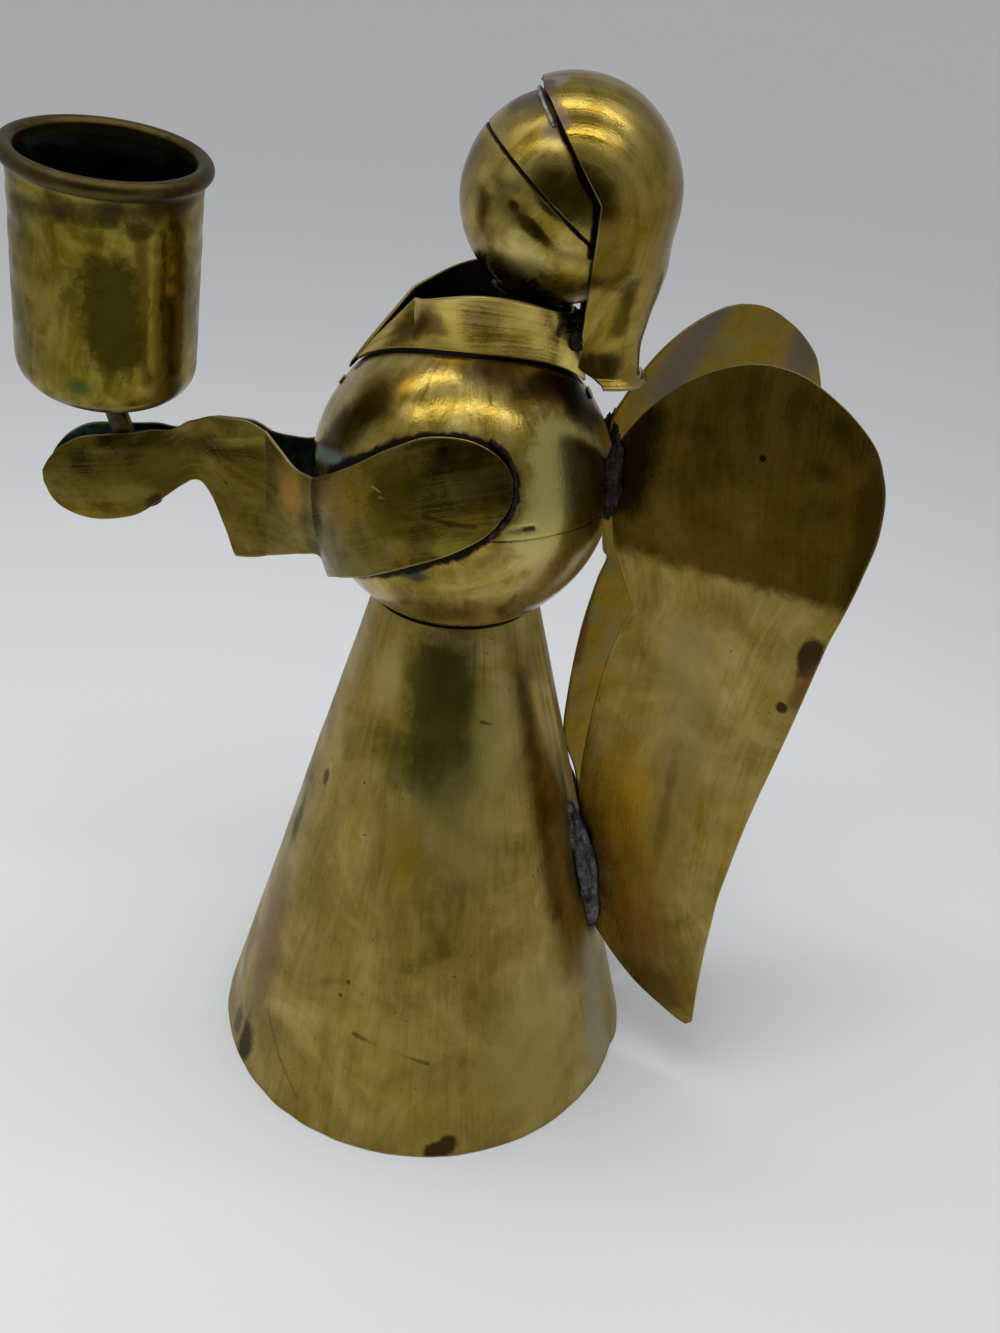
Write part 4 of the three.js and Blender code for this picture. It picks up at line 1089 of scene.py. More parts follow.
@dataclass
class Cup:
    """The candle cup with its rolled rim, and the rod that carries it between the palms."""

    body: Body
    arms: Arms
    rim_radius: float = 21.8
    radius: float = 20.0
    foot_radius: float = 19.87
    corner: float = 8.0
    crown: float = 1.5
    height: float = 55.0
    wall: float = 1.0
    bead: float = 1.9
    lean_left: float = math.radians(7.3)
    lean_back: float = math.radians(6.7)
    rod_length: float = 29.3
    rod_lean: float = math.radians(18.0)
    rod_drop: float = 14.7
    rod_reach: float = 28.6
    dents: tuple[Layer, ...] = ((0.14, 16.0, 17), (0.05, 6.0, 18))
    ring_depth: float = 0.12
    ring_number: float = 0.9
    skin: float = 0.04
    fillet_leg: float = 2.0
    fillet_drop: float = 3.0
    fillet_rise: float = 0.1
    fillet_gap: float = 0.15
    lump_half_length: float = 6.0

    @property
    def rod_axis(self) -> Array:
        """The rod's direction, up and forward."""
        return np.array([0.0, -math.sin(self.rod_lean), math.cos(self.rod_lean)])

    @property
    def rod_end(self) -> Array:
        """The middle of the rod's lower end."""
        return np.array([0.0, self.arms.wrist_y - self.rod_reach, self.body.chest_height - self.rod_drop])

    @property
    def foot(self) -> Array:
        """The middle of the cup's bottom, where the rod meets it."""
        return self.rod_end + self.rod_axis * self.rod_length

    @property
    def axis(self) -> Array:
        """The cup's own axis."""
        return unit(np.array([math.tan(self.lean_left), math.tan(self.lean_back), 1.0]))

    def surface(self) -> Surface:
        """The cup turned from its profile: domed bottom, round corner, wall, rolled bead, inside."""
        quarter = QUARTER_TURN
        floor = self.foot_radius - self.corner
        bead_height = self.height - self.bead
        across = np.linspace(0.0, floor, 20)
        dome = np.column_stack([across, self.crown * (across / floor) ** 2])
        corner = arc(self.corner, -quarter, 0.0, 24, floor, self.crown + self.corner)
        low, high = self.crown + self.corner, bead_height - self.bead - 1.5
        rise = np.linspace(low, high, 60)[1:]
        wall = np.column_stack([np.linspace(self.foot_radius, self.radius, 59), rise])
        neck = np.array([[self.radius - 0.05, bead_height - self.bead - 0.7]])
        rim = arc(self.bead, -quarter * 0.9, quarter * 1.75, 28, self.rim_radius - self.bead, bead_height)
        inner = self.radius - self.wall
        drop = np.linspace(bead_height - self.bead, low, 40)
        inside = np.column_stack([np.full(40, inner), drop])
        inner_corner = arc(self.corner - self.wall, 0.0, -quarter, 16, floor, self.crown + self.corner)[1:]
        bottom = np.array([[floor * 0.5, self.crown + self.wall], [0.0, self.crown + self.wall]])
        shown, hidden = [dome, corner, wall, neck, rim], [inside, inner_corner, bottom]
        profile = np.vstack(shown + hidden)
        sides = np.concatenate([np.ones(sum(map(len, shown))), np.zeros(sum(map(len, hidden)))])
        shell = turned_shell(profile, 240, sides)
        level = shell.points[:, 2]
        below_rim = 1 - smoothstep(level, bead_height - 6.0, bead_height - 2.0)
        dents = np.minimum(relief(shell.points, *self.dents), 0.0)
        rings = self.ring_depth * np.sin(level * self.ring_number) * smoothstep(level, 20.0, 40.0)
        push = (dents + np.minimum(rings, 0.0) - self.skin) * below_rim * shell.outer
        shell.points = shell.points + unit(shell.points * LEVEL) * push[:, None]
        shell.rim = smoothstep(level, bead_height - 2.6, bead_height - 1.2) * shell.outer
        return shell.moved(self.foot, turn_to(self.axis))

    def rod(self) -> Surface:
        """The rod about Z, from a chamfered end at the origin to a flat one."""
        radius, top = self.arms.rod_radius, self.rod_length - 0.2
        chamfer = np.array([[0.0, 0.0], [radius - 0.7, 0.0], [radius - 0.2, 0.25], [radius, 0.8]])
        shaft = np.column_stack([np.full(40, radius), np.linspace(1.2, top, 40)])
        return turned_shell(np.vstack([chamfer, shaft, [[0.0, top]]]), 48)

    def fillet(self) -> Surface:
        """The solder round the rod's upper end, on a hollow quarter curve."""
        skin, leg, drop = self.arms.rod_radius + self.fillet_gap, self.fillet_leg, self.fillet_drop
        swing = np.linspace(0.0, QUARTER_TURN, 10)
        rise = (drop + self.fillet_rise) * np.sin(swing) - drop
        curve = np.column_stack([skin + leg * (1 - np.cos(swing)), rise])
        return turned_shell(np.vstack([curve, [[skin, self.fillet_rise]]]), 48, closed=True)

    def build(self, bench: Bench) -> None:
        """Adds the cup, the rod and the solder at the rod's two ends."""
        bench.put("cup", self.surface(), Slot.CUP, ["candle_cup"])
        turn = turn_to(self.rod_axis)
        bench.put("rod", self.rod().moved(self.rod_end, turn), Slot.ROD, ["cup_rod"])
        bench.put("cup_fillet", self.fillet().moved(self.foot, turn), Slot.SOLDER, ["cup_solder"])
        radius, seat = self.arms.rod_radius, self.body.seat
        pill = radius - seat
        behind = np.array([0.0, (radius + seat + pill) / math.cos(self.rod_lean), 0.0])
        middle = self.rod_end + self.rod_axis * (8.0 + pill) + behind
        lump = lump_shell([pill, pill, self.lump_half_length], 19).moved(middle, turn)
        bench.put("palm_lump", lump, Slot.SOLDER, ["palm_solder"])


@dataclass
class Wings:
    """A cut sheet each, splayed from the chest and twisted in along the skirt."""

    body: Body
    splay: float = 0.455
    root: float = 9.4
    seat: float = 3.2
    reach: float = 53.8
    rise: float = 40.2
    tip_height: float = 22.0
    twist_drop: float = 23.2
    twist_in: float = 0.083
    tip_splay: float = 0.576
    right_extra: float = 5.4
    right_rise: float = 1.3
    bend: tuple[float, float] = (0.35, 38.0)
    dents: tuple[float, float] = (0.10, 12.0)
    clearance: float = 0.25
    chest_lump: Point = (2.0, 2.6, 9.2)
    chest_lump_rise: float = 7.0
    chest_lump_out: float = 1.1
    skirt_lump: Point = (3.0, 3.3, 18.6)
    skirt_lump_share: float = -0.71
    skirt_lump_out: float = 2.4
    # From the lower tip to the top: the front edge's clearance from the body and its height, then the
    # back edge's reach and its height, as shares of the drop below and the rise above the chest.
    rows: tuple[tuple[float, float, float, float], ...] = (
        (22.9, -1, 0.779, -0.987),
        (18.9, -0.993, 0.768, -0.921),
        (9.2, -0.952, 0.757, -0.828),
        (2.2, -0.888, 0.755, -0.735),
        (-0.8, -0.829, 0.757, -0.663),
        (0.6, -0.694, 0.783, -0.537),
        (2.2, -0.581, 0.811, -0.444),
        (1.5, -0.497, 0.848, -0.345),
        (1.8, -0.405, 0.88, -0.253),
        (3.1, -0.286, 0.918, -0.134),
        (5.6, -0.196, 0.951, -0.074),
        (7.4, -0.155, 0.974, -0.028),
        (6, -0.134, 0.985, 0),
        (1.6, -0.069, 1, 0.169),
        (-0.2, -0.021, 1, 0.294),
        (-1.3, 0.144, 0.989, 0.443),
        (-2, 0.343, 0.966, 0.552),
        (0.9, 0.505, 0.916, 0.692),
        (4.5, 0.647, 0.828, 0.811),
        (8.8, 0.769, 0.742, 0.893),
        (13.6, 0.868, 0.648, 0.963),
        (18.4, 0.94, 0.573, 0.993),
        (22.8, 0.985, 0.493, 1),
    )

    def height_at(self, share: Array) -> Array:
        """The height of a share of the drop below the chest's centre, or of the rise above it."""
        below = self.body.chest_height - self.tip_height
        return self.body.chest_height + share * np.where(share < 0, below, self.rise)

    def across(self, y: Array, z: Array) -> Array:
        """The left wing's X: a line that splays backwards from its root and twists in below."""
        twist_height = self.body.chest_height - self.twist_drop
        below = np.maximum(0.0, twist_height - z)
        root = self.root - self.twist_in * below
        splay = self.splay + (self.tip_splay - self.splay) * below / (twist_height - self.tip_height)
        return root + splay * (y - (self.body.chest_radius - self.seat))

    def outline(self, side: Side) -> tuple[Array, Array]:
        """The front and the back edge as points of Y and Z."""
        table = np.array(self.rows, float)
        right = side is Side.RIGHT
        rise = self.right_rise if right else 0.0
        extra = self.right_extra if right else 0.0
        front_z = self.height_at(table[:, 1]) + rise * smoothstep(table[:, 1], 0.5, 1.0)
        back_z = self.height_at(table[:, 3]) + rise * smoothstep(table[:, 3], 0.5, 1.0)
        body_line = np.maximum(self.body.skirt_radius_at(front_z), self.body.chest_radius)
        blade = smoothstep(table[:, 1], -0.62, -0.46) * (1 - smoothstep(table[:, 1], -0.12, -0.03))
        front = np.column_stack([body_line + table[:, 0] - extra * blade, front_z])
        back = np.column_stack([self.body.chest_radius + table[:, 2] * self.reach, back_z])
        return front, back

    def surface(self, side: Side) -> Surface:
        """The blade: straight lines from the front edge, held clear of the body, to the back edge."""
        front, back = self.outline(side)
        rows = shares(420, 0.0012)
        front_curve, back_curve = spline(front, rows, False), spline(back, rows, False)
        front_curve[:, 0] = self.clear_of_body(front_curve)
        share = shares(70, 0.012)[None, :, None]
        flat = lerp(front_curve[:, None], back_curve[:, None], share)
        y, z = flat[..., 0], flat[..., 1]
        points = np.stack([self.across(y, z), y, z], axis=-1)
        free = smoothstep(y - self.body.chest_radius, 4.0, 16.0)
        points[..., 0] += free * relief(points, (*self.bend, 23 + side.value), (*self.dents, 26 + side.value))
        points[..., 0] *= side.value
        shell = sheet_shell(points, self.body.sheet)
        return shell.flipped() if side is Side.LEFT else shell

    def clear_of_body(self, edge: Array) -> Array:
        """The front edge's Y, moved back where it would lie inside the chest or the skirt."""
        y, z = edge[:, 0].copy(), edge[:, 1]
        body = self.body
        ball, cone = body.chest_radius + self.clearance, body.skirt_radius_at(z) + self.clearance
        on_skirt = z < body.skirt_height
        for _ in range(4):
            x = self.across(y, z)
            chest = np.sqrt(np.maximum(ball**2 - x**2 - (z - body.chest_height) ** 2, 0.0))
            skirt = np.sqrt(np.maximum(cone**2 - x**2, 0.0)) * on_skirt
            y = np.maximum(edge[:, 0], np.maximum(chest, skirt))
        return y

    def build(self, bench: Bench) -> None:
        """Adds both wings and the lumps of solder that hold them to the chest and the skirt."""
        body = self.body
        chest_z = body.chest_height + self.chest_lump_rise
        chest_y = body.chest_radius - self.seat / 2
        skirt_z, half = float(self.height_at(np.array(self.skirt_lump_share))), 19.0
        for side in Side:
            label, sign = side.label, side.value
            bench.put(f"wing_{label}", self.surface(side), Slot.WING, [f"{label}_wing"])
            chest_x = sign * (float(self.across(chest_y, chest_z)) + self.chest_lump_out)
            lump = lump_shell(self.chest_lump, 40 + sign, rough=0.18).moved([chest_x, chest_y, chest_z])
            node = f"{label}_wing_chest_solder"
            bench.put(f"wing_lump_chest_{label}", lump, Slot.SOLDER, [node], bench.sooty)
            axis = self.skirt_corner(skirt_z + half, side) - self.skirt_corner(skirt_z - half, side)
            lump = lump_shell(self.skirt_lump, 43 + sign, rough=0.24)
            lump = lump.moved(self.skirt_corner(skirt_z, side), turn_to(unit(axis)))
            bench.put(f"wing_lump_skirt_{label}", lump, Slot.SOLDER, [f"{label}_wing_skirt_solder"])

    def skirt_corner(self, height: float, side: Side) -> Array:
        """Where the solder between wing and skirt lies: on the skirt's back, outside the wing's face."""
        y = float(self.body.skirt_radius_at(height))
        return np.array([side.value * (float(self.across(y, height)) + self.skirt_lump_out), y, height])


# Where the hair's edge passes over the left side of the head, from the top down. A painted shadow lies along
# it on the head and on the hair's edge.
HAIR_LINE = (
    (6.8, 11.0, 260.5),
    (17.7, 15.0, 254.2),
    (19.9, 19.6, 245.0),
    (20.3, 22.9, 240.7),
    (20.6, 23.6, 229.9),
)

# The dents that show as lines, on the head below the hair's edge and on the chest behind the left pad
HEAD_CREASES = (
    Crease(((15.1, 1.7, 242.6), (18.2, 5.0, 240.4), (19.6, 7.6, 239.0)), 1.1, 0.25),
    Crease(((19.6, 7.6, 239.0), (21.0, 12.5, 235.3), (20.6, 17.3, 231.8), (19.5, 21.9, 230.9)), 2.2, 0.75),
)
CHEST_CREASES = (
    Crease(((36.3, 9.9, 175.7), (31.6, 16.9, 175.5)), 0.45, 0.55),
    Crease(((35.4, 6.9, 172.2), (34.4, 10.6, 171.8)), 0.35, 0.2),
)

# Finishes


@dataclass(frozen=True)
class Spot:
    """A spot on the metal: a ragged ball of colour about a place, mostly a stain, in a few places painted
    shade, a painted sheen and a painted reflection.

    Attributes:
        place: its middle, in millimetres.
        radius: of its full colour.
        soft: how far it fades beyond that.
        colour: of the spot, linear.
        strength: how much of the metal's colour it covers.
        rough: the roughness of the metal there.
        stretch: its length along Z over its width.
        to: the other end of a spot that is drawn out into a line.
    """

    place: Point
    radius: float
    soft: float
    colour: Colour
    strength: float = 0.8
    rough: float = 0.4
    stretch: float = 1.0
    to: Point | None = None


@dataclass(frozen=True)
class Brass:
    """Aged brass: four tones in soft clouds, brush marks, specks, grime and painted shade in the joints, and
    stains, among them some painted shade and painted reflections.

    Attributes:
        tones: from dark to bright, linear.
        cloud: the size of the clouds, in millimetres.
        rough: the lowest and the highest roughness of the clean metal.
        brush: the strength of the brush marks.
        grain: the marks' width and length, in millimetres.
        specks: how dark the specks are.
        grime_and_shade: how dark the metal is near other metal, as grime and as shade painted from ambient
            occlusion.
        inside: the colour of the side turned in.
        rim: how much of the cut edge shows the edge's colour.
        tint: another tone in wide patches, and tinted its strength.
        growth: the colour of patches on the side turned in.
        smeared: the strength of long smears.
        shade: a height, a width, a tone and a strength, of a painted dark reflection above a level line.
    """

    slot: Slot
    tones: tuple[Colour, Colour, Colour, Colour]
    cloud: float
    brush: float
    grain: tuple[float, float]
    rough: tuple[float, float] = (0.17, 0.32)
    specks: float = 0.7
    grime_and_shade: float = 0.9
    inside: Colour = (0.05, 0.035, 0.015)
    inside_rough: float = 0.6
    rim: float = 0.0
    spots: tuple[Spot, ...] = ()
    tint: Colour = (0.34, 0.20, 0.012)
    tinted: float = 0.35
    edge: Colour = (0.50, 0.41, 0.15)
    growth: Colour | None = None
    lining_spots: tuple[Spot, ...] = ()
    smeared: float = 0.5
    shade: tuple[float, float, Colour, float] | None = None


class Nodes:
    """Adds and links the nodes of one shader tree."""

    def __init__(self, tree: bpy.types.NodeTree) -> None:
        """Starts with an empty tree."""
        self.tree = tree
        self.tree.nodes.clear()

    def feed(self, socket: Socket, value: object) -> None:
        """Links a socket to a socket, or sets it to a number or a colour."""
        if isinstance(value, Socket):
            self.tree.links.new(value, socket)
        elif isinstance(value, tuple) and socket.type == "RGBA":
            socket.default_value = (*value, 1.0)
        else:
            socket.default_value = value

    def node(
        self, kind: str, inputs: dict[int | str, object], output: int | str = 0, **settings: object
    ) -> Socket:
        """One output of a new node with the given inputs and settings."""
        made = self.tree.nodes.new(f"ShaderNode{kind}")
        for key, value in settings.items():
            setattr(made, key, value)
        for key, value in inputs.items():
            self.feed(made.inputs[key], value)
        return made.outputs[output]

    def end(self, kind: str, surface: Socket) -> None:
        """Links a finished surface or background to a new output node."""
        self.tree.links.new(surface, self.tree.nodes.new(f"ShaderNodeOutput{kind}").inputs["Surface"])

    def maths(self, operation: str, first: object, second: object = 0.0, clamp: bool = False) -> Socket:
        """One step of arithmetic on numbers."""
        return self.node("Math", {0: first, 1: second}, operation=operation, use_clamp=clamp)


class Painter(Nodes):
    """Paints one material. Its places are in millimetres."""

    def __init__(self, name: str) -> None:
        """Starts an empty material with one metal shader."""
        self.material = bpy.data.materials.new(name)
        self.material.use_nodes = True
        super().__init__(self.material.node_tree)
        self.shader = self.tree.nodes.new("ShaderNodeBsdfPrincipled")
        self.end("Material", self.shader.outputs["BSDF"])
        self.place = self.scaled(self.node("TexCoord", {}, "Object"), (MILLIMETRES,) * 3)

    def show(self, **inputs: object) -> None:
        """Feeds the shader's inputs, each named in small letters with low lines for spaces."""
        for name, value in inputs.items():
            self.feed(self.shader.inputs[SHADER_INPUTS[name]], value)

    def scaled(self, vector: object, scale: Point, shift: Point = (0.0, 0.0, 0.0)) -> Socket:
        """The vector times a scale, plus a shift."""
        return self.node("Mapping", {"Vector": vector, "Scale": scale, "Location": shift}, "Vector")

    def height(self) -> Socket:
        """The height over the ground."""
        return self.node("SeparateXYZ", {0: self.place}, "Z")

    def attribute(self, name: str, output: str = "Fac") -> Socket:
        """One of the piece's own attributes."""
        return self.node("Attribute", {}, output, attribute_name=name)

    def noise(
        self,
        vector: object,
        size: float,
        detail: float = 4.0,
        warp: float = 0.0,
        seed: float = 0.0,
        crisp: float = 0.55,
    ) -> Socket:
        """Cloud noise whose largest features have about the given size."""
        moved = self.scaled(vector, (1.0, 1.0, 1.0), tuple(step * seed for step in NOISE_STEP))
        look = {"Scale": 1.0 / size, "Detail": detail, "Roughness": crisp, "Distortion": warp}
        return self.node("TexNoise", {"Vector": moved, **look})

    def between(
        self, value: object, low: float, high: float, start: float = 0.0, end: float = 1.0
    ) -> Socket:
        """The value carried smoothly from low and high to start and end."""
        ends = {"From Min": low, "From Max": high, "To Min": start, "To Max": end}
        return self.node("MapRange", {"Value": value, **ends}, "Result", interpolation_type="SMOOTHSTEP")

    def mix(self, share: object, first: object, second: object, blend: str = "MIX") -> Socket:
        """Two colours mixed."""
        return self.node("Mix", {0: share, 6: first, 7: second}, 2, data_type="RGBA", blend_type=blend)

    def blend(self, share: object, first: object, second: object) -> Socket:
        """Two numbers mixed."""
        return self.node("Mix", {0: share, 2: first, 3: second}, data_type="FLOAT")

    def ramp(self, value: Socket, stops: Sequence[float], colours: Sequence[Colour]) -> Socket:
        """A colour read off a scale of stops."""
        made = self.node("ValToRGB", {0: value})
        scale = made.node.color_ramp
        scale.interpolation = "EASE"
        while len(scale.elements) < len(stops):
            scale.elements.new(0.5)
        for element, position, colour in zip(scale.elements, stops, colours):
            element.position = position
            element.color = (*colour, 1.0)
        return made

    def spot(self, spot: Spot, ragged: Socket) -> Socket:
        """How much a spot covers each point: the distance to its middle or line, made ragged by a noise."""
        offset = self.scaled(self.place, (1.0, 1.0, 1.0), tuple(-a for a in spot.place))
        if spot.to:
            line = np.array(spot.to) - np.array(spot.place)
            whole = tuple(line / (line @ line))
            along = self.node("VectorMath", {0: offset, 1: whole}, "Value", operation="DOT_PRODUCT")
            share = self.maths("ADD", along, 0.0, clamp=True)
            reached = self.node("VectorMath", {0: tuple(line), "Scale": share}, operation="SCALE")
            offset = self.node("VectorMath", {0: offset, 1: reached}, operation="SUBTRACT")
        flat = self.scaled(offset, (1.0, 1.0, 1.0 / spot.stretch))
        length = self.node("VectorMath", {0: flat}, "Value", operation="LENGTH")
        reach = self.maths("ADD", length, self.maths("MULTIPLY", ragged, spot.radius + spot.soft))
        return self.between(reach, spot.radius, spot.radius + spot.soft, spot.strength, 0.0)

    def bump(self, height: Socket, depth: float) -> None:
        """Gives the surface a fine relief of the given depth in millimetres."""
        self.show(normal=self.node("Bump", {"Distance": depth * METRES, "Height": height}, "Normal"))


SHADER_INPUTS = {
    "colour": "Base Color",
    "metallic": "Metallic",
    "roughness": "Roughness",
    "normal": "Normal",
    "specular": "Specular IOR Level",
    "glow_colour": "Emission Color",
    "glow": "Emission Strength",
}
NOISE_STEP = (17.0, 31.0, 47.0)  # how far a noise lies from the next seed's
TONE_STOPS = (0.28, 0.43, 0.56, 0.70)
SMEAR_SCALE = (0.16, 0.16, 0.035)
# near black, for grime and for painted shade in joints and creases
GRIME_AND_SHADE: Colour = (0.018, 0.012, 0.008)
SPECK: Colour = (0.03, 0.022, 0.012)


def dimmed(colour: Colour, share: float) -> Colour:
    """The colour at a share of its brightness."""
    return tuple(share * c for c in colour)


class BrassPainter(Painter):
    """Paints one aged brass, from the clean metal up to the dirt and the painted shade.

    Attributes:
        cloud: wide soft clouds.
        streaks: fine lines along the grain.
        smear: long smears along the grain.
        mottle: small patches.
        ragged: the same patches about zero, which tear the edges of stains.
    """

    def __init__(self, finish: Brass) -> None:
        """Starts the material and its patterns."""
        super().__init__(finish.slot.value)
        self.finish = finish
        flow = self.attribute("flow", "Vector")
        fine, long = finish.grain
        grain = self.scaled(flow, (1.0 / fine, 1.0 / fine, 1.0 / long))
        self.cloud = self.noise(self.place, finish.cloud, detail=6.0, warp=0.9, seed=1.0)
        self.streaks = self.noise(grain, 1.0, detail=3.0, seed=3.0, crisp=0.7)
        smears = self.scaled(flow, SMEAR_SCALE)
        self.smear = self.noise(smears, 1.0, detail=5.0, warp=1.4, seed=9.0, crisp=0.62)
        self.mottle = self.noise(self.place, finish.cloud * 0.22, detail=5.0, warp=0.6, seed=4.0, crisp=0.65)
        self.ragged = self.maths("SUBTRACT", self.mottle, 0.5)

    def clean(self) -> Socket:
        """The clean metal's colour: tones over clouds, tinted, streaked, smeared, mottled and speckled."""
        finish = self.finish
        dark, low, _, bright = finish.tones
        wide = self.noise(self.place, finish.cloud * 2.6, detail=3.0, warp=1.2, seed=2.0)
        tinted = self.between(wide, 0.50, 0.64, 0.0, finish.tinted)
        colour = self.mix(tinted, self.ramp(self.cloud, TONE_STOPS, finish.tones), finish.tint)
        shade = self.between(self.streaks, 0.25, 0.75, 1.0 - finish.brush, 1.0 + 0.6 * finish.brush)
        grey = self.node("CombineColor", {0: shade, 1: shade, 2: shade})
        colour = self.mix(1.0, colour, grey, "MULTIPLY")
        specks = self.noise(self.place, 1.1, detail=2.0, seed=5.0)
        for pattern, start, end, first, last, tone in (
            (self.smear, 0.44, 0.66, 0.0, finish.smeared, bright),
            (self.smear, 0.32, 0.46, finish.smeared, 0.0, dark),
            (self.mottle, 0.56, 0.72, 0.0, 0.45, low),
            (specks, 0.70, 0.76, 0.0, finish.specks, SPECK),
        ):
            colour = self.mix(self.between(pattern, start, end, first, last), colour, tone)
        return colour

    def gloss(self) -> Socket:
        """The clean metal's roughness, which follows clouds, streaks and smears."""
        finish = self.finish
        cloud = self.noise(self.place, finish.cloud * 0.6, detail=5.0, warp=0.5, seed=6.0)
        rough = self.between(cloud, 0.32, 0.68, *finish.rough)
        streaky, smeary = 0.02 + 0.15 * finish.brush, 0.11 * finish.smeared
        rough = self.maths("ADD", rough, self.between(self.streaks, 0.3, 0.7, -streaky, streaky))
        return self.maths("ADD", rough, self.between(self.smear, 0.35, 0.65, -smeary, smeary))

    def with_dark_reflection(self, colour: Socket) -> Socket:
        """The colour with the finish's painted dark reflection above its ragged level line."""
        if not self.finish.shade:
            return colour
        height, soft, tone, strength = self.finish.shade
        level = self.maths("ADD", self.height(), self.maths("MULTIPLY", self.ragged, 5.0))
        above = self.between(level, height, height + soft, 0.0, strength)
        return self.mix(above, colour, self.mix(0.9, colour, tone, "MULTIPLY"))

    def dirt(self) -> Socket:
        """Dirt and painted shade: shade painted near other metal, and the piece's marks of seam dirt and
        painted shadow.
        """
        # painted shade: ambient occlusion darkens the metal near other metal, as well as grime
        near = self.node("AmbientOcclusion", {"Distance": 5.0 * METRES}, "AO", samples=6)
        hidden = self.maths("MULTIPLY", self.between(near, 0.25, 0.85, 1.0, 0.0), self.finish.grime_and_shade)
        torn = self.maths("MULTIPLY", self.ragged, self.maths("MULTIPLY", hidden, 1.2))
        dirt_and_shadow_marks = self.maths("ADD", self.attribute("dirt"), self.maths("MULTIPLY", self.ragged, 0.8))
        hidden = self.maths("ADD", hidden, torn, clamp=True)
        return self.maths("MAXIMUM", hidden, self.between(dirt_and_shadow_marks, 0.30, 0.66))

    def lining(self) -> Socket:
        """The colour of the side turned in: dark, with patches of growth and stains of its own."""
        finish = self.finish
        lining = self.mix(self.mottle, finish.inside, dimmed(finish.inside, 0.35))
        if finish.growth:
            patch = self.noise(self.place, 9.0, detail=5.0, warp=0.8, seed=8.0, crisp=0.6)
            growth = self.mix(self.cloud, finish.growth, dimmed(finish.growth, 0.3))
            lining = self.mix(self.between(patch, 0.44, 0.62), lining, growth)
        for spot in finish.lining_spots:
            lining = self.mix(self.spot(spot, self.ragged), lining, spot.colour)
        return lining

    def finished(self) -> Material:
        """The whole material: spots, a painted dark reflection, dirt and painted shade, lining and cut edges
        over the clean metal.
        """
        finish = self.finish
        colour, rough = self.clean(), self.gloss()
        for spot in finish.spots:
            cover = self.spot(spot, self.ragged)
            colour, rough = self.mix(cover, colour, spot.colour), self.blend(cover, rough, spot.rough)
        colour = self.with_dark_reflection(colour)
        inner = self.maths("SUBTRACT", 1.0, self.attribute("outer"), clamp=True)
        edge = self.maths("MULTIPLY", self.attribute("rim"), finish.rim)
        # dirt and painted shade first, then the lining and the cut edges
        for cover, tone, roughness in (
            (self.dirt(), GRIME_AND_SHADE, 0.6),
            (inner, self.lining(), finish.inside_rough),
            (edge, finish.edge, 0.46),
        ):
            colour, rough = self.mix(cover, colour, tone), self.blend(cover, rough, roughness)
        self.show(colour=colour, roughness=rough, metallic=1.0)
        grit = self.noise(self.place, 0.6, detail=3.0, seed=7.0)
        fine = self.maths("MULTIPLY", self.streaks, 0.6)
        fine = self.maths("ADD", fine, self.maths("MULTIPLY", grit, 0.35))
        fine = self.maths("ADD", fine, self.maths("MULTIPLY", self.mottle, 0.5))
        self.bump(fine, 0.05 + 0.10 * finish.brush)
        return self.material


SOLDER_STOPS = (0.3, 0.5, 0.66, 0.8)
DULL_SOLDER = ((0.035, 0.033, 0.032), (0.09, 0.09, 0.092), (0.15, 0.15, 0.16), (0.26, 0.26, 0.27))
# near black: blackened solder, with the shade of its joint painted in
SOOTY_SHADED_SOLDER = ((0.010, 0.007, 0.006), (0.028, 0.018, 0.014), (0.05, 0.035, 0.03), (0.08, 0.07, 0.06))
SILVER_SOLDER = ((0.12, 0.11, 0.10), (0.34, 0.33, 0.32), (0.50, 0.49, 0.48), (0.62, 0.61, 0.60))
SILVER_FROM = (236.0, 246.0)  # over this height the clean solder is as bright as on the hair's edge


def solder_material(sooty: bool) -> Material:
    """Dull grey lead solder: mottled, rough, with brighter smears and dark pits; sooty and shaded, it is near
    black, which also paints the shade of its joint.
    """
    paint = Painter(f"{Slot.SOLDER.value}_sooty" if sooty else Slot.SOLDER.value)
    cloud = paint.noise(paint.place, 2.4, detail=5.0, warp=0.6, seed=11.0)
    colour = paint.ramp(cloud, SOLDER_STOPS, SOOTY_SHADED_SOLDER if sooty else DULL_SOLDER)
    if not sooty:
        silver = paint.ramp(cloud, SOLDER_STOPS, SILVER_SOLDER)
        colour = paint.mix(paint.between(paint.height(), *SILVER_FROM), colour, silver)
    fine = paint.noise(paint.place, 0.7, seed=12.0)
    colour = paint.mix(paint.between(fine, 0.58, 0.7, 0.0, 0.7), colour, (0.03, 0.025, 0.02))
    paint.show(colour=colour, roughness=paint.between(cloud, 0.35, 0.7, 0.62, 0.34), metallic=0.85)
    paint.bump(paint.maths("ADD", cloud, fine), 0.35)
    return paint.material


OLIVE_DARK: Colour = (0.12, 0.076, 0.005)
OLIVE: Colour = (0.23, 0.158, 0.018)
GOLD: Colour = (0.38, 0.273, 0.055)
PALE_GOLD: Colour = (0.54, 0.412, 0.16)
BROWN: Colour = (0.055, 0.032, 0.012)
MAUVE: Colour = (0.13, 0.088, 0.072)
TEAL: Colour = (0.10, 0.20, 0.17)
ORANGE: Colour = (0.36, 0.19, 0.02)
SILVER: Colour = (0.34, 0.33, 0.30)
# near black: dark oxide, with painted shade, for the inside of the collar
BLACKENED_AND_SHADED: Colour = (0.020, 0.017, 0.012)

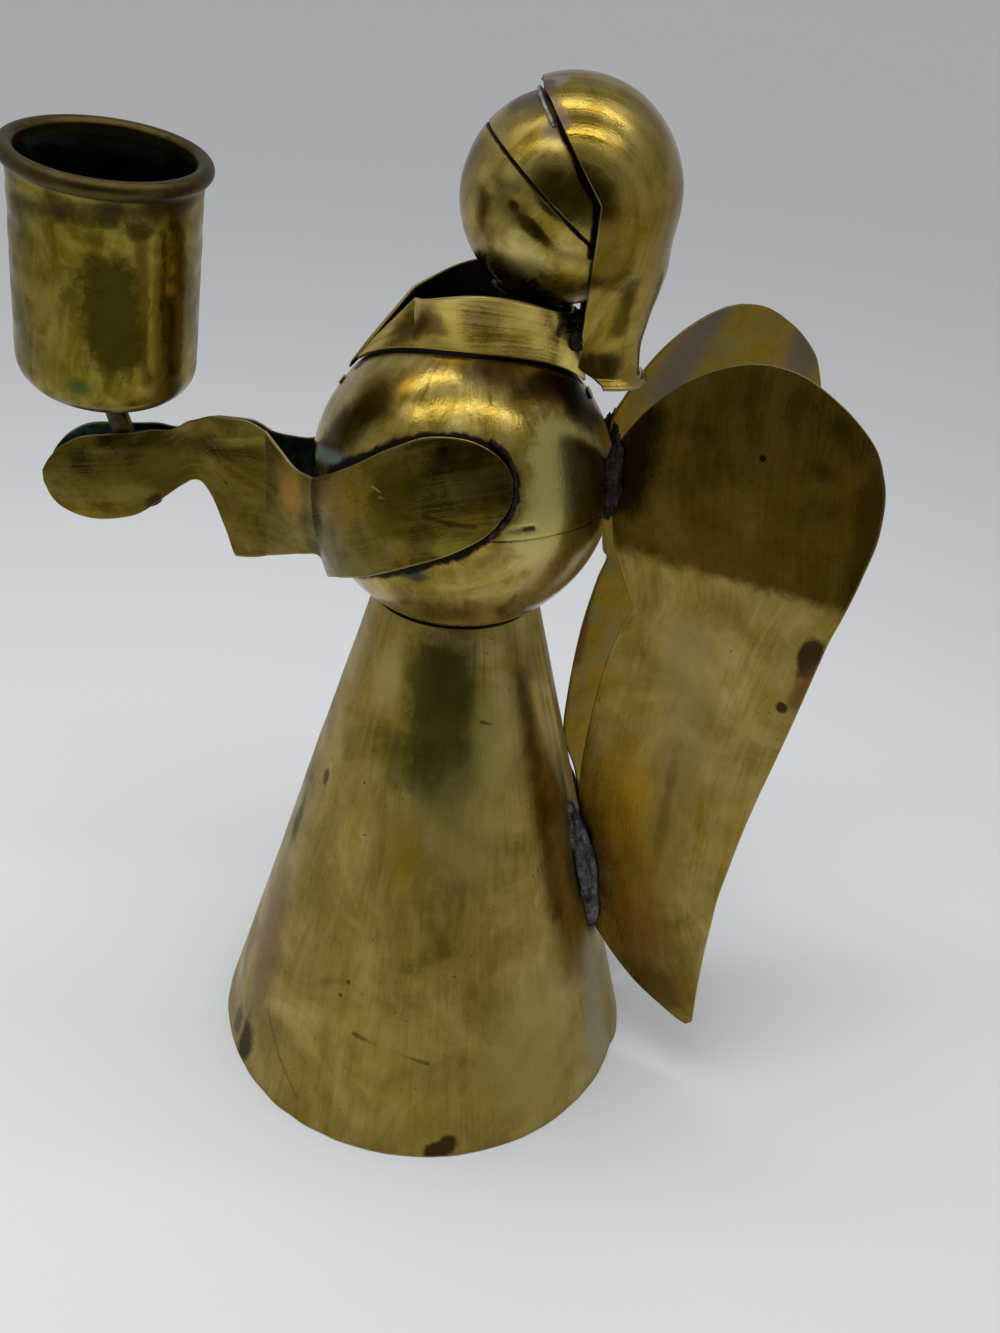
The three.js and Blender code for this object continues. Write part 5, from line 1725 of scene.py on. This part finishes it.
FINISHES: tuple[Brass, ...] = (
    Brass(
        slot=Slot.SKIRT,
        tones=((0.16, 0.107, 0.012), (0.27, 0.191, 0.032), (0.36, 0.261, 0.056), (0.47, 0.352, 0.12)),
        cloud=26.0,
        rough=(0.34, 0.52),
        brush=0.20,
        grain=(0.9, 26.0),
        smeared=0.28,
        specks=0.9,
        grime_and_shade=0.85,
        inside=(0.10, 0.08, 0.03),
        inside_rough=0.55,
        rim=0.8,
        spots=(
            # painted reflection of the chest and the arm: the dark olive streak down the skirt's front
            Spot((23.5, -2.0, 132.0), 5.0, 7.0, (0.09, 0.08, 0.012), 0.86, 0.34, to=(31.0, 2.0, 106.0)),
            Spot((13.0, 48.5, 36.0), 2.0, 9.0, (0.33, 0.28, 0.17), 0.6, 0.45, to=(24.0, 54.0, 10.0)),
            Spot((12.4, 22.6, 122.6), 0.6, 2.2, (0.46, 0.33, 0.03), 0.7, 0.3, to=(13.2, 26.7, 108.2)),
            # part of the same painted reflection
            Spot((28.5, -9.5, 107.0), 2.5, 4.0, (0.08, 0.068, 0.007), 0.6, 0.32, 1.6),
            Spot((20.5, -14.5, 128.0), 1.5, 4.0, (0.46, 0.36, 0.12), 0.7, 0.28, 3.0),
            Spot((33.5, 8.0, 92.0), 5.0, 12.0, (0.42, 0.33, 0.10), 0.5, 0.4, 1.6),
            Spot((18.0, -42.0, 55.0), 2.0, 9.0, (0.17, 0.12, 0.035), 0.6, 0.5, to=(30.0, -48.0, 20.0)),
            Spot((25.5, 13.0, 116.0), 2.5, 5.0, (0.40, 0.33, 0.10), 0.55, 0.35, 3.0),
            Spot((17.0, 21.0, 128.0), 1.5, 4.5, (0.09, 0.062, 0.006), 0.8, 0.32, to=(26.0, 36.5, 62.0)),
            Spot((43.0, 33.0, 26.0), 8.0, 14.0, (0.36, 0.29, 0.085), 0.6, 0.5, 1.5),
            Spot((24.8, 10.0, 119.5), 0.25, 0.5, BROWN, 0.8, 0.5, to=(24.2, 12.6, 118.6)),
            Spot((25.0, 11.5, 117.2), 0.2, 0.4, BROWN, 0.6, 0.5, to=(24.7, 13.2, 116.6)),
            Spot((33.5, -42.0, 22.4), 0.1, 0.8, BROWN, 0.35, 0.5, to=(42.4, -37.0, 13.3)),
            Spot((42.4, -37.0, 13.3), 0.1, 0.8, BROWN, 0.35, 0.5, to=(49.1, -31.0, 6.6)),
            Spot((46.4, -28.0, 16.0), 0.4, 1.2, BROWN, 0.5, 0.5, to=(49.2, -24.0, 12.0)),
            Spot((48.2, -16.1, 32.7), 0.35, 0.6, BROWN, 0.6, 0.5, to=(52.0, 4.2, 28.0)),
            Spot((30.7, -49.4, 6.6), 2.6, 2.5, BROWN, 0.95, 0.6, 2.0),
            Spot((23.8, -52.9, 6.9), 1.8, 2.5, MAUVE, 0.9, 0.55, 1.5),
            Spot((57.6, 11.5, 3.6), 2.0, 1.6, BROWN, 0.95, 0.6, to=(58.6, 8.0, 1.6)),
            Spot((55.0, 4.5, 4.0), 1.2, 1.6, BROWN, 0.6, 0.5),
            Spot((35.7, -6.5, 85.0), 1.6, 4.5, (0.30, 0.18, 0.012), 0.7, 0.35, 2.6),
            Spot((11.7, -37.6, 74.1), 0.9, 3.0, (0.06, 0.11, 0.04), 0.75, 0.7, 4.0),
            Spot((17.3, -29.2, 93.3), 0.9, 0.8, BROWN, 0.8, 0.5, 2.0),
            Spot((20.1, -44.5, 40.0), 3.0, 9.0, (0.26, 0.13, 0.05), 0.5, 0.45, 2.5),
            Spot((43.7, -20.6, 41.9), 0.3, 0.6, BROWN, 0.8, 0.5),
            Spot((43.2, -18.7, 46.3), 0.4, 0.6, BROWN, 0.8, 0.5),
        ),
    ),
    Brass(
        slot=Slot.BALL,
        tones=(OLIVE_DARK, OLIVE, GOLD, PALE_GOLD),
        cloud=19.0,
        brush=0.05,
        grain=(1.4, 9.0),
        smeared=0.34,
        grime_and_shade=0.95,
        tint=(0.36, 0.22, 0.05),
        spots=(
            Spot((4.7, 8.3, 257.3), 3.6, 3.4, MAUVE, 0.75, 0.4),
            Spot((15.2, 13.4, 253.4), 1.4, 2.6, MAUVE, 0.7, 0.4),
            # painted shade in the crease on the head
            Spot((18.8, 5.7, 239.8), 2.0, 4.5, (0.10, 0.075, 0.005), 0.7, 0.25),
            Spot((17.6, 8.9, 228.0), 3.0, 5.0, (0.62, 0.50, 0.17), 0.9, 0.36),
            Spot((12.9, 0.0, 243.5), 0.8, 2.2, (0.58, 0.48, 0.16), 0.7, 0.2),
            Spot((23.4, 21.2, 190.7), 4.0, 6.0, (0.58, 0.48, 0.16), 0.85, 0.25, to=(30.0, 18.0, 172.0)),
            Spot((17.2, 5.5, 245.3), 1.0, 2.0, (0.60, 0.50, 0.14), 0.6, 0.15),
            Spot((20.2, 12.0, 244.0), 1.5, 3.5, (0.09, 0.055, 0.006), 0.7, 0.3),
            Spot((18.2, -13.1, 201.2), 1.6, 3.0, (0.26, 0.15, 0.012), 0.7, 0.25),
            Spot((18.5, -19.5, 196.9), 4.2, 5.0, (0.19, 0.115, 0.008), 0.8, 0.2),
            Spot((18.0, -28.3, 186.0), 3.4, 5.0, (0.07, 0.042, 0.007), 0.8, 0.35, 1.6),
            Spot((23.4, -25.3, 182.8), 0.5, 2.8, (0.24, 0.33, 0.29), 0.85, 0.8, to=(12.6, -33.0, 180.7)),
            Spot((30.2, -19.1, 187.4), 0.6, 1.4, (0.05, 0.10, 0.05), 0.7, 0.6, to=(23.4, -25.3, 183.2)),
            # verdigris with painted shadow: the dark band under the pad's lower edge
            Spot((33.4, -9.0, 162.6), 2.2, 2.6, (0.03, 0.045, 0.035), 0.75, 0.4, 0.5),
            Spot((16.4, 6.7, 204.3), 2.6, 5.0, (0.15, 0.07, 0.02), 0.7, 0.35, 0.6),
            Spot((14.0, 16.7, 201.7), 2.6, 5.0, (0.10, 0.045, 0.02), 0.7, 0.4, 0.7),
            Spot((19.5, 29.5, 186.0), 2.0, 4.0, (0.20, 0.14, 0.02), 0.5, 0.42, to=(22.5, 26.5, 172.0)),
            # painted shadow on the chest under the hair's tail
            Spot((9.0, 27.0, 196.0), 4.5, 5.0, (0.025, 0.015, 0.004), 0.9, 0.4),
            Spot((21.6, 10.5, 199.5), 1.2, 2.2, (0.16, 0.075, 0.012), 0.7, 0.3, to=(12.0, 21.0, 199.6)),
            Spot((27.0, 19.5, 161.5), 3.0, 6.0, (0.46, 0.33, 0.13), 0.6, 0.3),
            # dirt and painted shade in the crease behind the left pad
            Spot((36.6, 9.9, 175.7), 0.2, 0.7, GRIME_AND_SHADE, 0.9, 0.6, to=(31.6, 16.9, 175.5)),
        ),
    ),
    Brass(
        slot=Slot.HAIR,
        tones=(OLIVE_DARK, OLIVE, (0.33, 0.236, 0.042), (0.46, 0.347, 0.12)),
        cloud=17.0,
        brush=0.06,
        grain=(1.2, 10.0),
        smeared=0.38,
        rim=0.45,
        spots=(
            Spot((7.1, 12.8, 260.8), 2.0, 1.0, SILVER, 0.8, 0.35),
            # painted shadow along the hair's edge: mauve at the top, dark olive lower down
            Spot((6.8, 11.0, 260.5), 0.7, 1.0, MAUVE, 0.8, 0.4, to=(17.7, 15.0, 254.2)),
            Spot((22.0, 22.0, 238.0), 3.0, 6.0, (0.10, 0.065, 0.005), 0.65, 0.25, to=(21.0, 26.0, 226.0)),
            Spot((13.8, 32.7, 224.6), 0.8, 2.2, (0.07, 0.045, 0.004), 0.85, 0.3, to=(10.6, 31.3, 214.0)),
            Spot((9.2, 30.6, 206.1), 1.4, 2.5, BROWN, 0.8, 0.4),
        ),
    ),
    Brass(
        slot=Slot.WING,
        tones=((0.14, 0.093, 0.010), (0.23, 0.161, 0.028), (0.32, 0.229, 0.056), (0.42, 0.315, 0.11)),
        cloud=22.0,
        rough=(0.24, 0.42),
        brush=0.22,
        grain=(0.8, 34.0),
        smeared=0.35,
        specks=0.6,
        grime_and_shade=0.8,
        inside=(0.42, 0.26, 0.025),
        inside_rough=0.34,
        rim=0.35,
        tint=(0.28, 0.155, 0.006),
        tinted=0.45,
        # painted dark reflection on the wing's upper part
        shade=(161.5, 4.0, (0.22, 0.172, 0.03), 1.0),
        growth=(0.36, 0.27, 0.07),
        lining_spots=(
            Spot((-16.0, 47.0, 196.0), 1.5, 6.0, (0.15, 0.12, 0.10), 0.85, 0.5, to=(-20.0, 56.0, 214.0)),
            Spot((-31.4, 82.4, 202.8), 2.0, 6.0, (0.13, 0.11, 0.09), 0.8, 0.5, 1.8),
            Spot((-7.0, 33.9, 121.2), 0.3, 2.4, (0.10, 0.055, 0.015), 0.8, 0.5, to=(-8.6, 35.6, 146.0)),
        ),
        spots=(
            Spot((20.7, 57.4, 145.6), 3.5, 6.0, (0.31, 0.24, 0.085), 0.55, 0.5, to=(20.3, 60.8, 110.7)),
            Spot((20.3, 60.8, 110.7), 3.0, 6.0, (0.26, 0.185, 0.05), 0.55, 0.5, to=(17.3, 59.8, 68.3)),
            Spot((19.0, 60.5, 128.0), 0.8, 1.5, (0.14, 0.10, 0.02), 0.6, 0.5, to=(18.0, 59.8, 70.0)),
            Spot((13.0, 48.6, 91.1), 4.0, 9.0, (0.32, 0.17, 0.008), 0.75, 0.26, 2.2),
            Spot((16.0, 57.4, 66.8), 3.5, 9.0, (0.28, 0.14, 0.008), 0.65, 0.28, 2.0),
            Spot((16.4, 60.3, 47.1), 3.0, 9.0, (0.26, 0.11, 0.025), 0.65, 0.32, 1.8),
            Spot((19.0, 67.0, 30.0), 4.0, 12.0, (0.11, 0.062, 0.008), 0.92, 0.35),
            Spot((32.4, 82.9, 150.3), 2.2, 1.4, BROWN, 0.95, 0.6, 1.8),
            Spot((33.6, 85.6, 147.0), 1.0, 3.0, (0.15, 0.07, 0.025), 0.7, 0.5, to=(32.0, 82.5, 138.0)),
            Spot((30.5, 79.8, 135.1), 0.9, 0.9, BROWN, 0.95, 0.6),
            Spot((24.3, 64.7, 193.4), 0.6, 0.4, BROWN, 1.0, 0.6),
            Spot((30.3, 77.9, 203.3), 1.0, 3.0, (0.10, 0.075, 0.01), 0.6, 0.4),
            Spot((30.0, 77.3, 193.2), 1.2, 2.2, (0.10, 0.07, 0.01), 0.6, 0.4),
            Spot((26.4, 69.3, 207.6), 0.8, 2.6, (0.11, 0.08, 0.01), 0.5, 0.4, 2.2),
            Spot((12.7, 39.3, 196.0), 2.0, 6.0, (0.03, 0.018, 0.006), 0.9, 0.4, to=(12.5, 38.5, 178.0)),
            Spot((14.0, 42.0, 84.0), 2.0, 4.5, (0.06, 0.022, 0.010), 0.9, 0.45, to=(14.0, 47.0, 52.0)),
            Spot((36.0, 90.5, 160.0), 1.5, 4.0, (0.10, 0.06, 0.012), 0.6, 0.4, to=(34.0, 88.0, 195.0)),
            Spot((-29.1, 77.4, 205.5), 1.5, 5.0, (0.13, 0.11, 0.10), 0.8, 0.5, to=(-18.7, 50.0, 207.0)),
            Spot((-10.1, 39.5, 126.2), 2.0, 5.0, (0.40, 0.23, 0.02), 0.6, 0.35, 2.5),
        ),
    ),
    Brass(
        slot=Slot.ARM,
        tones=((0.050, 0.032, 0.003), (0.092, 0.065, 0.006), (0.139, 0.1, 0.013), (0.211, 0.156, 0.040)),
        cloud=12.0,
        rough=(0.20, 0.38),
        brush=0.14,
        grain=(0.9, 9.0),
        specks=0.8,
        inside=(0.035, 0.05, 0.035),
        inside_rough=0.65,
        rim=0.6,
        spots=(
            Spot((36.0, 2.3, 184.6), 1.5, 3.5, (0.34, 0.27, 0.06), 0.65, 0.25),
            Spot((34.2, -13.1, 182.3), 3.5, 5.0, (0.07, 0.046, 0.003), 0.8, 0.3),
            Spot((33.9, -15.0, 175.1), 2.5, 4.5, (0.065, 0.045, 0.003), 0.7, 0.3),
            Spot((31.8, -18.2, 181.6), 0.1, 0.35, (0.4, 0.32, 0.12), 0.6, 0.4, to=(32.8, -16.2, 181.0)),
            Spot((32.9, -16.4, 179.8), 0.1, 0.4, (0.4, 0.32, 0.12), 0.6, 0.4, to=(33.6, -14.6, 179.9)),
            Spot((29.0, -22.0, 181.0), 0.1, 0.35, BROWN, 0.6, 0.4, to=(29.8, -20.8, 180.6)),
            Spot((27.0, -24.5, 172.0), 1.2, 4.0, (0.22, 0.13, 0.012), 0.6, 0.3, 2.0),
            Spot((36.4, -6.5, 178.0), 0.15, 0.8, (0.05, 0.032, 0.004), 0.8, 0.35, to=(37.1, -0.9, 177.0)),
            Spot((37.1, -0.9, 177.0), 0.15, 0.8, (0.05, 0.032, 0.004), 0.8, 0.35, to=(36.8, 4.5, 176.8)),
            Spot((37.2, -0.5, 171.0), 1.8, 3.0, (0.26, 0.215, 0.03), 0.6, 0.25),
            Spot((3.6, -60.0, 176.6), 0.5, 1.2, (0.28, 0.225, 0.05), 0.6, 0.3, to=(3.6, -48.0, 178.4)),
            Spot((3.6, -89.0, 172.0), 0.4, 1.2, (0.30, 0.24, 0.06), 0.5, 0.3, to=(3.6, -73.0, 174.0)),
            # painted sheen: the orange band where the forearm turns in at the elbow
            Spot((9.8, -39.9, 169.6), 2.0, 4.0, ORANGE, 0.7, 0.3, 1.8),
            Spot((3.6, -72.1, 170.5), 2.5, 4.5, (0.09, 0.055, 0.008), 0.8, 0.35, 1.5),
            Spot((3.6, -56.1, 183.4), 1.0, 3.5, (0.07, 0.045, 0.008), 0.7, 0.35),
            Spot((3.6, -73.6, 160.2), 1.6, 1.4, BROWN, 0.95, 0.5),
        ),
        growth=(0.10, 0.21, 0.16),
    ),
    Brass(
        slot=Slot.COLLAR,
        tones=((0.29, 0.19, 0.018), (0.53, 0.385, 0.072), (0.7, 0.52, 0.12), (0.8, 0.63, 0.22)),
        cloud=13.0,
        rough=(0.20, 0.36),
        brush=0.10,
        grain=(1.0, 8.0),
        specks=0.6,
        # dark oxide and painted shade on the collar's inside
        inside=BLACKENED_AND_SHADED,
        inside_rough=0.7,
        rim=0.7,
        spots=(
            Spot((11.9, -9.3, 212.4), 2.6, 3.4, (0.15, 0.085, 0.03), 0.8, 0.4, 0.7),
            Spot((7.7, -14.9, 208.9), 1.6, 3.4, (0.14, 0.08, 0.03), 0.7, 0.4, 0.7),
        ),
    ),
    Brass(
        slot=Slot.CUP,
        tones=((0.070, 0.046, 0.003), (0.15, 0.109, 0.008), (0.25, 0.185, 0.022), (0.36, 0.273, 0.060)),
        cloud=13.0,
        rough=(0.18, 0.40),
        brush=0.06,
        grain=(2.5, 12.0),
        specks=0.8,
        inside=(0.006, 0.009, 0.005),
        inside_rough=0.8,
        rim=0.85,
        tint=(0.20, 0.125, 0.008),
        edge=(0.055, 0.037, 0.016),
        growth=(0.010, 0.035, 0.020),
        lining_spots=(
            Spot((1.3, -95.8, 240.0), 0.6, 3.0, (0.07, 0.11, 0.09), 0.8, 0.8, to=(-7.3, -90.4, 240.0)),
            Spot((-7.3, -90.4, 240.4), 0.8, 3.6, (0.05, 0.06, 0.025), 0.9, 0.8, to=(-11.9, -81.1, 239.4)),
            Spot((-11.9, -81.1, 239.4), 0.8, 3.6, (0.05, 0.055, 0.022), 0.9, 0.8, to=(-11.4, -72.3, 237.6)),
        ),
        spots=(
            # painted shadow of the rim, with dark brown tarnish: the band under the bead
            Spot((20.0, -93.1, 230.4), 0.5, 3.2, (0.05, 0.036, 0.012), 0.75, 0.5, to=(25.5, -82.1, 230.9)),
            Spot((25.5, -82.1, 230.9), 0.5, 3.2, (0.045, 0.03, 0.010), 0.75, 0.5, to=(24.7, -72.5, 231.0)),
            Spot((24.7, -72.5, 231.0), 0.5, 3.6, (0.045, 0.028, 0.010), 0.8, 0.5, to=(20.3, -64.9, 231.6)),
            Spot((20.3, -64.9, 231.6), 0.5, 3.2, (0.05, 0.036, 0.014), 0.75, 0.5, to=(12.3, -59.9, 232.4)),
            Spot((21.6, -67.8, 226.7), 0.6, 1.5, (0.09, 0.052, 0.004), 0.8, 0.2, to=(16.1, -70.2, 194.5)),
            Spot((14.0, -61.8, 224.8), 1.4, 1.8, (0.17, 0.11, 0.010), 0.7, 0.2, to=(10.4, -65.3, 196.5)),
            Spot((21.7, -67.7, 227.3), 1.6, 2.5, (0.05, 0.03, 0.004), 0.85, 0.3, 0.7),
            Spot((21.5, -75.0, 217.0), 3.6, 5.0, (0.042, 0.030, 0.003), 0.92, 0.22, to=(20.5, -74.5, 202.0)),
            Spot((19.1, -65.2, 225.0), 0.7, 1.6, (0.44, 0.32, 0.05), 0.9, 0.3, to=(15.2, -68.4, 198.0)),
            Spot((23.4, -82.6, 213.5), 1.2, 2.0, (0.09, 0.07, 0.008), 0.75, 0.3, 0.8),
            Spot((24.9, -75.9, 225.6), 1.0, 2.6, (0.08, 0.06, 0.006), 0.7, 0.3, 0.6),
            Spot((21.0, -83.5, 193.4), 1.0, 3.2, (0.07, 0.13, 0.035), 0.75, 0.7, 0.8),
            Spot((17.0, -91.0, 190.5), 0.6, 2.6, (0.08, 0.12, 0.03), 0.6, 0.7, 0.8),
        ),
    ),
    Brass(
        slot=Slot.ROD,
        tones=((0.02, 0.015, 0.01), (0.05, 0.038, 0.022), (0.09, 0.07, 0.04), (0.16, 0.13, 0.08)),
        cloud=4.0,
        rough=(0.38, 0.6),
        brush=0.2,
        grain=(0.5, 6.0),
        specks=0.5,
        grime_and_shade=0.8,
        inside=BLACKENED_AND_SHADED,
        inside_rough=0.7,
    ),
)


# Studio

RAYS = ("Glossy", "Transmission", "Camera")  # the rays that see the wall's tone


@dataclass
class Studio:
    """The camera, the pale floor, the world and two long lamps overhead.

    The lengths are in millimetres and the angles in radians.
    """

    focal_pixels: float = 1200.0
    image_height: float = 1333.0
    sensor: float = 36.0
    camera_place: Point = (270.78, 8.7, 282.13)
    camera_turn: float = math.radians(1.0)
    camera_pitch: float = math.radians(30.73)
    camera_roll: float = math.radians(5.82)
    floor_colour: Colour = (0.675, 0.695, 0.715)
    floor_reach: float = 15000.0
    lamp_height: float = 500.0
    lamp_length: float = 500.0
    lamp_width: float = 16.0
    lamp_places: tuple[float, float] = (120.0, -25.0)
    lamp_power: float = 0.26
    box_height: float = 750.0
    box_side: float = 420.0
    box_place: tuple[float, float] = (90.0, -110.0)
    box_power: float = 2.4
    wall: Colour = (0.382, 0.394, 0.405)
    sky: float = 0.57
    card_place: float = 540.0
    card_sides: tuple[float, float] = (-340.0, 560.0)
    card_heights: tuple[float, float] = (30.0, 700.0)
    card_tone: Colour = (0.055, 0.052, 0.045)

    def camera(self) -> None:
        """The camera, from its place, its turn about the upright, its pitch down and its roll."""
        turn, pitch, roll = self.camera_turn, self.camera_pitch, self.camera_roll
        right = np.array([math.sin(turn), math.cos(turn), 0.0])
        level = np.array([-math.cos(turn), math.sin(turn), 0.0])
        ahead = math.cos(pitch) * level - math.sin(pitch) * UP
        above = np.cross(right, ahead)
        across = math.cos(roll) * right + math.sin(roll) * above
        over = -math.sin(roll) * right + math.cos(roll) * above
        data = bpy.data.cameras.new("camera")
        data.sensor_width = self.sensor
        data.lens = self.sensor * self.focal_pixels / self.image_height
        data.clip_start, data.clip_end = 0.01, 20.0
        camera = bpy.data.objects.new("camera", data)
        place = np.array(self.camera_place) * METRES
        frame = np.eye(4)
        frame[:3, :4] = np.column_stack([across, over, -ahead, place])
        camera.matrix_world = Matrix(frame.tolist())
        bpy.context.scene.collection.objects.link(camera)
        bpy.context.scene.camera = camera

    def plane(self, name: str, corners: Sequence[Point], material: Material) -> bpy.types.Object:
        """A flat stage piece through four corners in millimetres."""
        mesh = bpy.data.meshes.new(name)
        mesh.from_pydata([tuple(c * METRES for c in corner) for corner in corners], [], [(0, 1, 2, 3)])
        mesh.materials.append(material)
        made = bpy.data.objects.new(name, mesh)
        bpy.context.scene.collection.objects.link(made)
        return made

    def floor(self) -> None:
        """The pale paper on the ground, which fades into the wall's tone far away."""
        paint = Painter("floor_paper")
        paint.show(colour=self.floor_colour, roughness=0.9)
        reach = self.floor_reach
        corners = [(-reach, -reach, 0.0), (reach, -reach, 0.0), (reach, reach, 0.0), (-reach, reach, 0.0)]
        self.plane("floor", corners, paint.material)

    def dark_opening(self) -> None:
        """The unlit room in front of the paper, which only shiny surfaces see."""
        paint = Painter("room")
        paint.show(colour=(0.0, 0.0, 0.0), glow_colour=self.card_tone, glow=1.0, roughness=1.0, specular=0.0)
        near, (left, right), (low, top) = self.card_place, self.card_sides, self.card_heights
        corners = [(near, left, low), (near, right, low), (near, right, top), (near, left, top)]
        card = self.plane("room_card", corners, paint.material)
        for ray in ("camera", "diffuse", "transmission", "shadow", "volume_scatter"):
            setattr(card, f"visible_{ray}", False)

    def lamps(self) -> None:
        """Two long lamps over the part, along its depth, and a broad soft one that gloss doesn't show."""
        for number, x in enumerate(self.lamp_places):
            size = (self.lamp_width, self.lamp_length)
            self.lamp(f"lamp_{number}", (x, -20.0, self.lamp_height), size, self.lamp_power)
        place = (*self.box_place, self.box_height)
        box = self.lamp("soft_box", place, (self.box_side, self.box_side), self.box_power)
        box.visible_glossy = False

    @staticmethod
    def lamp(name: str, place: Point, size: tuple[float, float], power: float) -> bpy.types.Object:
        """One flat lamp that shines down."""
        data = bpy.data.lights.new(name, "AREA")
        data.shape = "RECTANGLE"
        data.size, data.size_y = size[0] * METRES, size[1] * METRES
        data.energy = power
        made = bpy.data.objects.new(name, data)
        made.location = tuple(c * METRES for c in place)
        bpy.context.scene.collection.objects.link(made)
        return made

    def world(self) -> None:
        """Soft light from all round: one level for matt surfaces, a pale wall for the eye and for gloss."""
        world = bpy.data.worlds.new("studio")
        world.use_nodes = True
        nodes = Nodes(world.node_tree)
        glossy, clear, camera = (nodes.node("LightPath", {}, f"Is {ray} Ray") for ray in RAYS)
        seen = nodes.maths("MAXIMUM", camera, nodes.maths("MAXIMUM", glossy, clear))
        light = nodes.node("Background", {"Color": (1.0, 1.0, 1.0), "Strength": self.sky})
        wall = nodes.node("Background", {"Color": self.wall, "Strength": 1.0})
        nodes.end("World", nodes.node("MixShader", {0: seen, 1: light, 2: wall}))
        bpy.context.scene.world = world

    def build(self) -> None:
        """Sets the whole studio."""
        self.camera()
        self.floor()
        self.dark_opening()
        self.lamps()
        self.world()
        bpy.context.scene.view_settings.view_transform = "Standard"


def main() -> None:
    """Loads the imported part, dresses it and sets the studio."""
    logging.basicConfig(level=logging.INFO, format="%(name)s: %(message)s")
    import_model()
    body = Body()
    finishes = {finish.slot: BrassPainter(finish).finished() for finish in FINISHES}
    finishes[Slot.SOLDER] = solder_material(False)
    bench = Bench(finishes, solder_material(True))
    arms = Arms(body)
    chest = Chest(
        body=body,
        name="chest",
        nodes=("chest_lower_half", "chest_upper_half"),
        centre=body.chest_centre,
        radius=body.chest_radius,
        tilt=0.0,
        lip=0.12,
        seam_dirt=0.35,
        dent=0.12,
        dent_size=26.0,
        seed=1,
        creases=CHEST_CREASES,
        # painted shadow in the gap under the pads' edges
        shadow_line=arms.pad_edge(),
        shadow_width=2.8,
    )
    head = Ball(
        body=body,
        name="head",
        nodes=("head_front_half", "head_back_half"),
        centre=body.head_centre,
        radius=body.head_radius,
        tilt=math.radians(39.0),
        lip=0.52,
        seam_dirt=0.66,
        dent=0.14,
        dent_size=15.0,
        seed=2,
        creases=HEAD_CREASES,
        # painted shadow on the head along the hair's edge
        shadow_line=np.array(HAIR_LINE),
    )
    trunk = (Skirt(body), chest, Neck(body), Collar(body), head, Hair(body))
    for part in (*trunk, arms, Cup(body, arms), Wings(body)):
        part.build(bench)
        LOG.info("%s done", type(part).__name__)
    Studio().build()


if __name__ == "__main__":
    main()
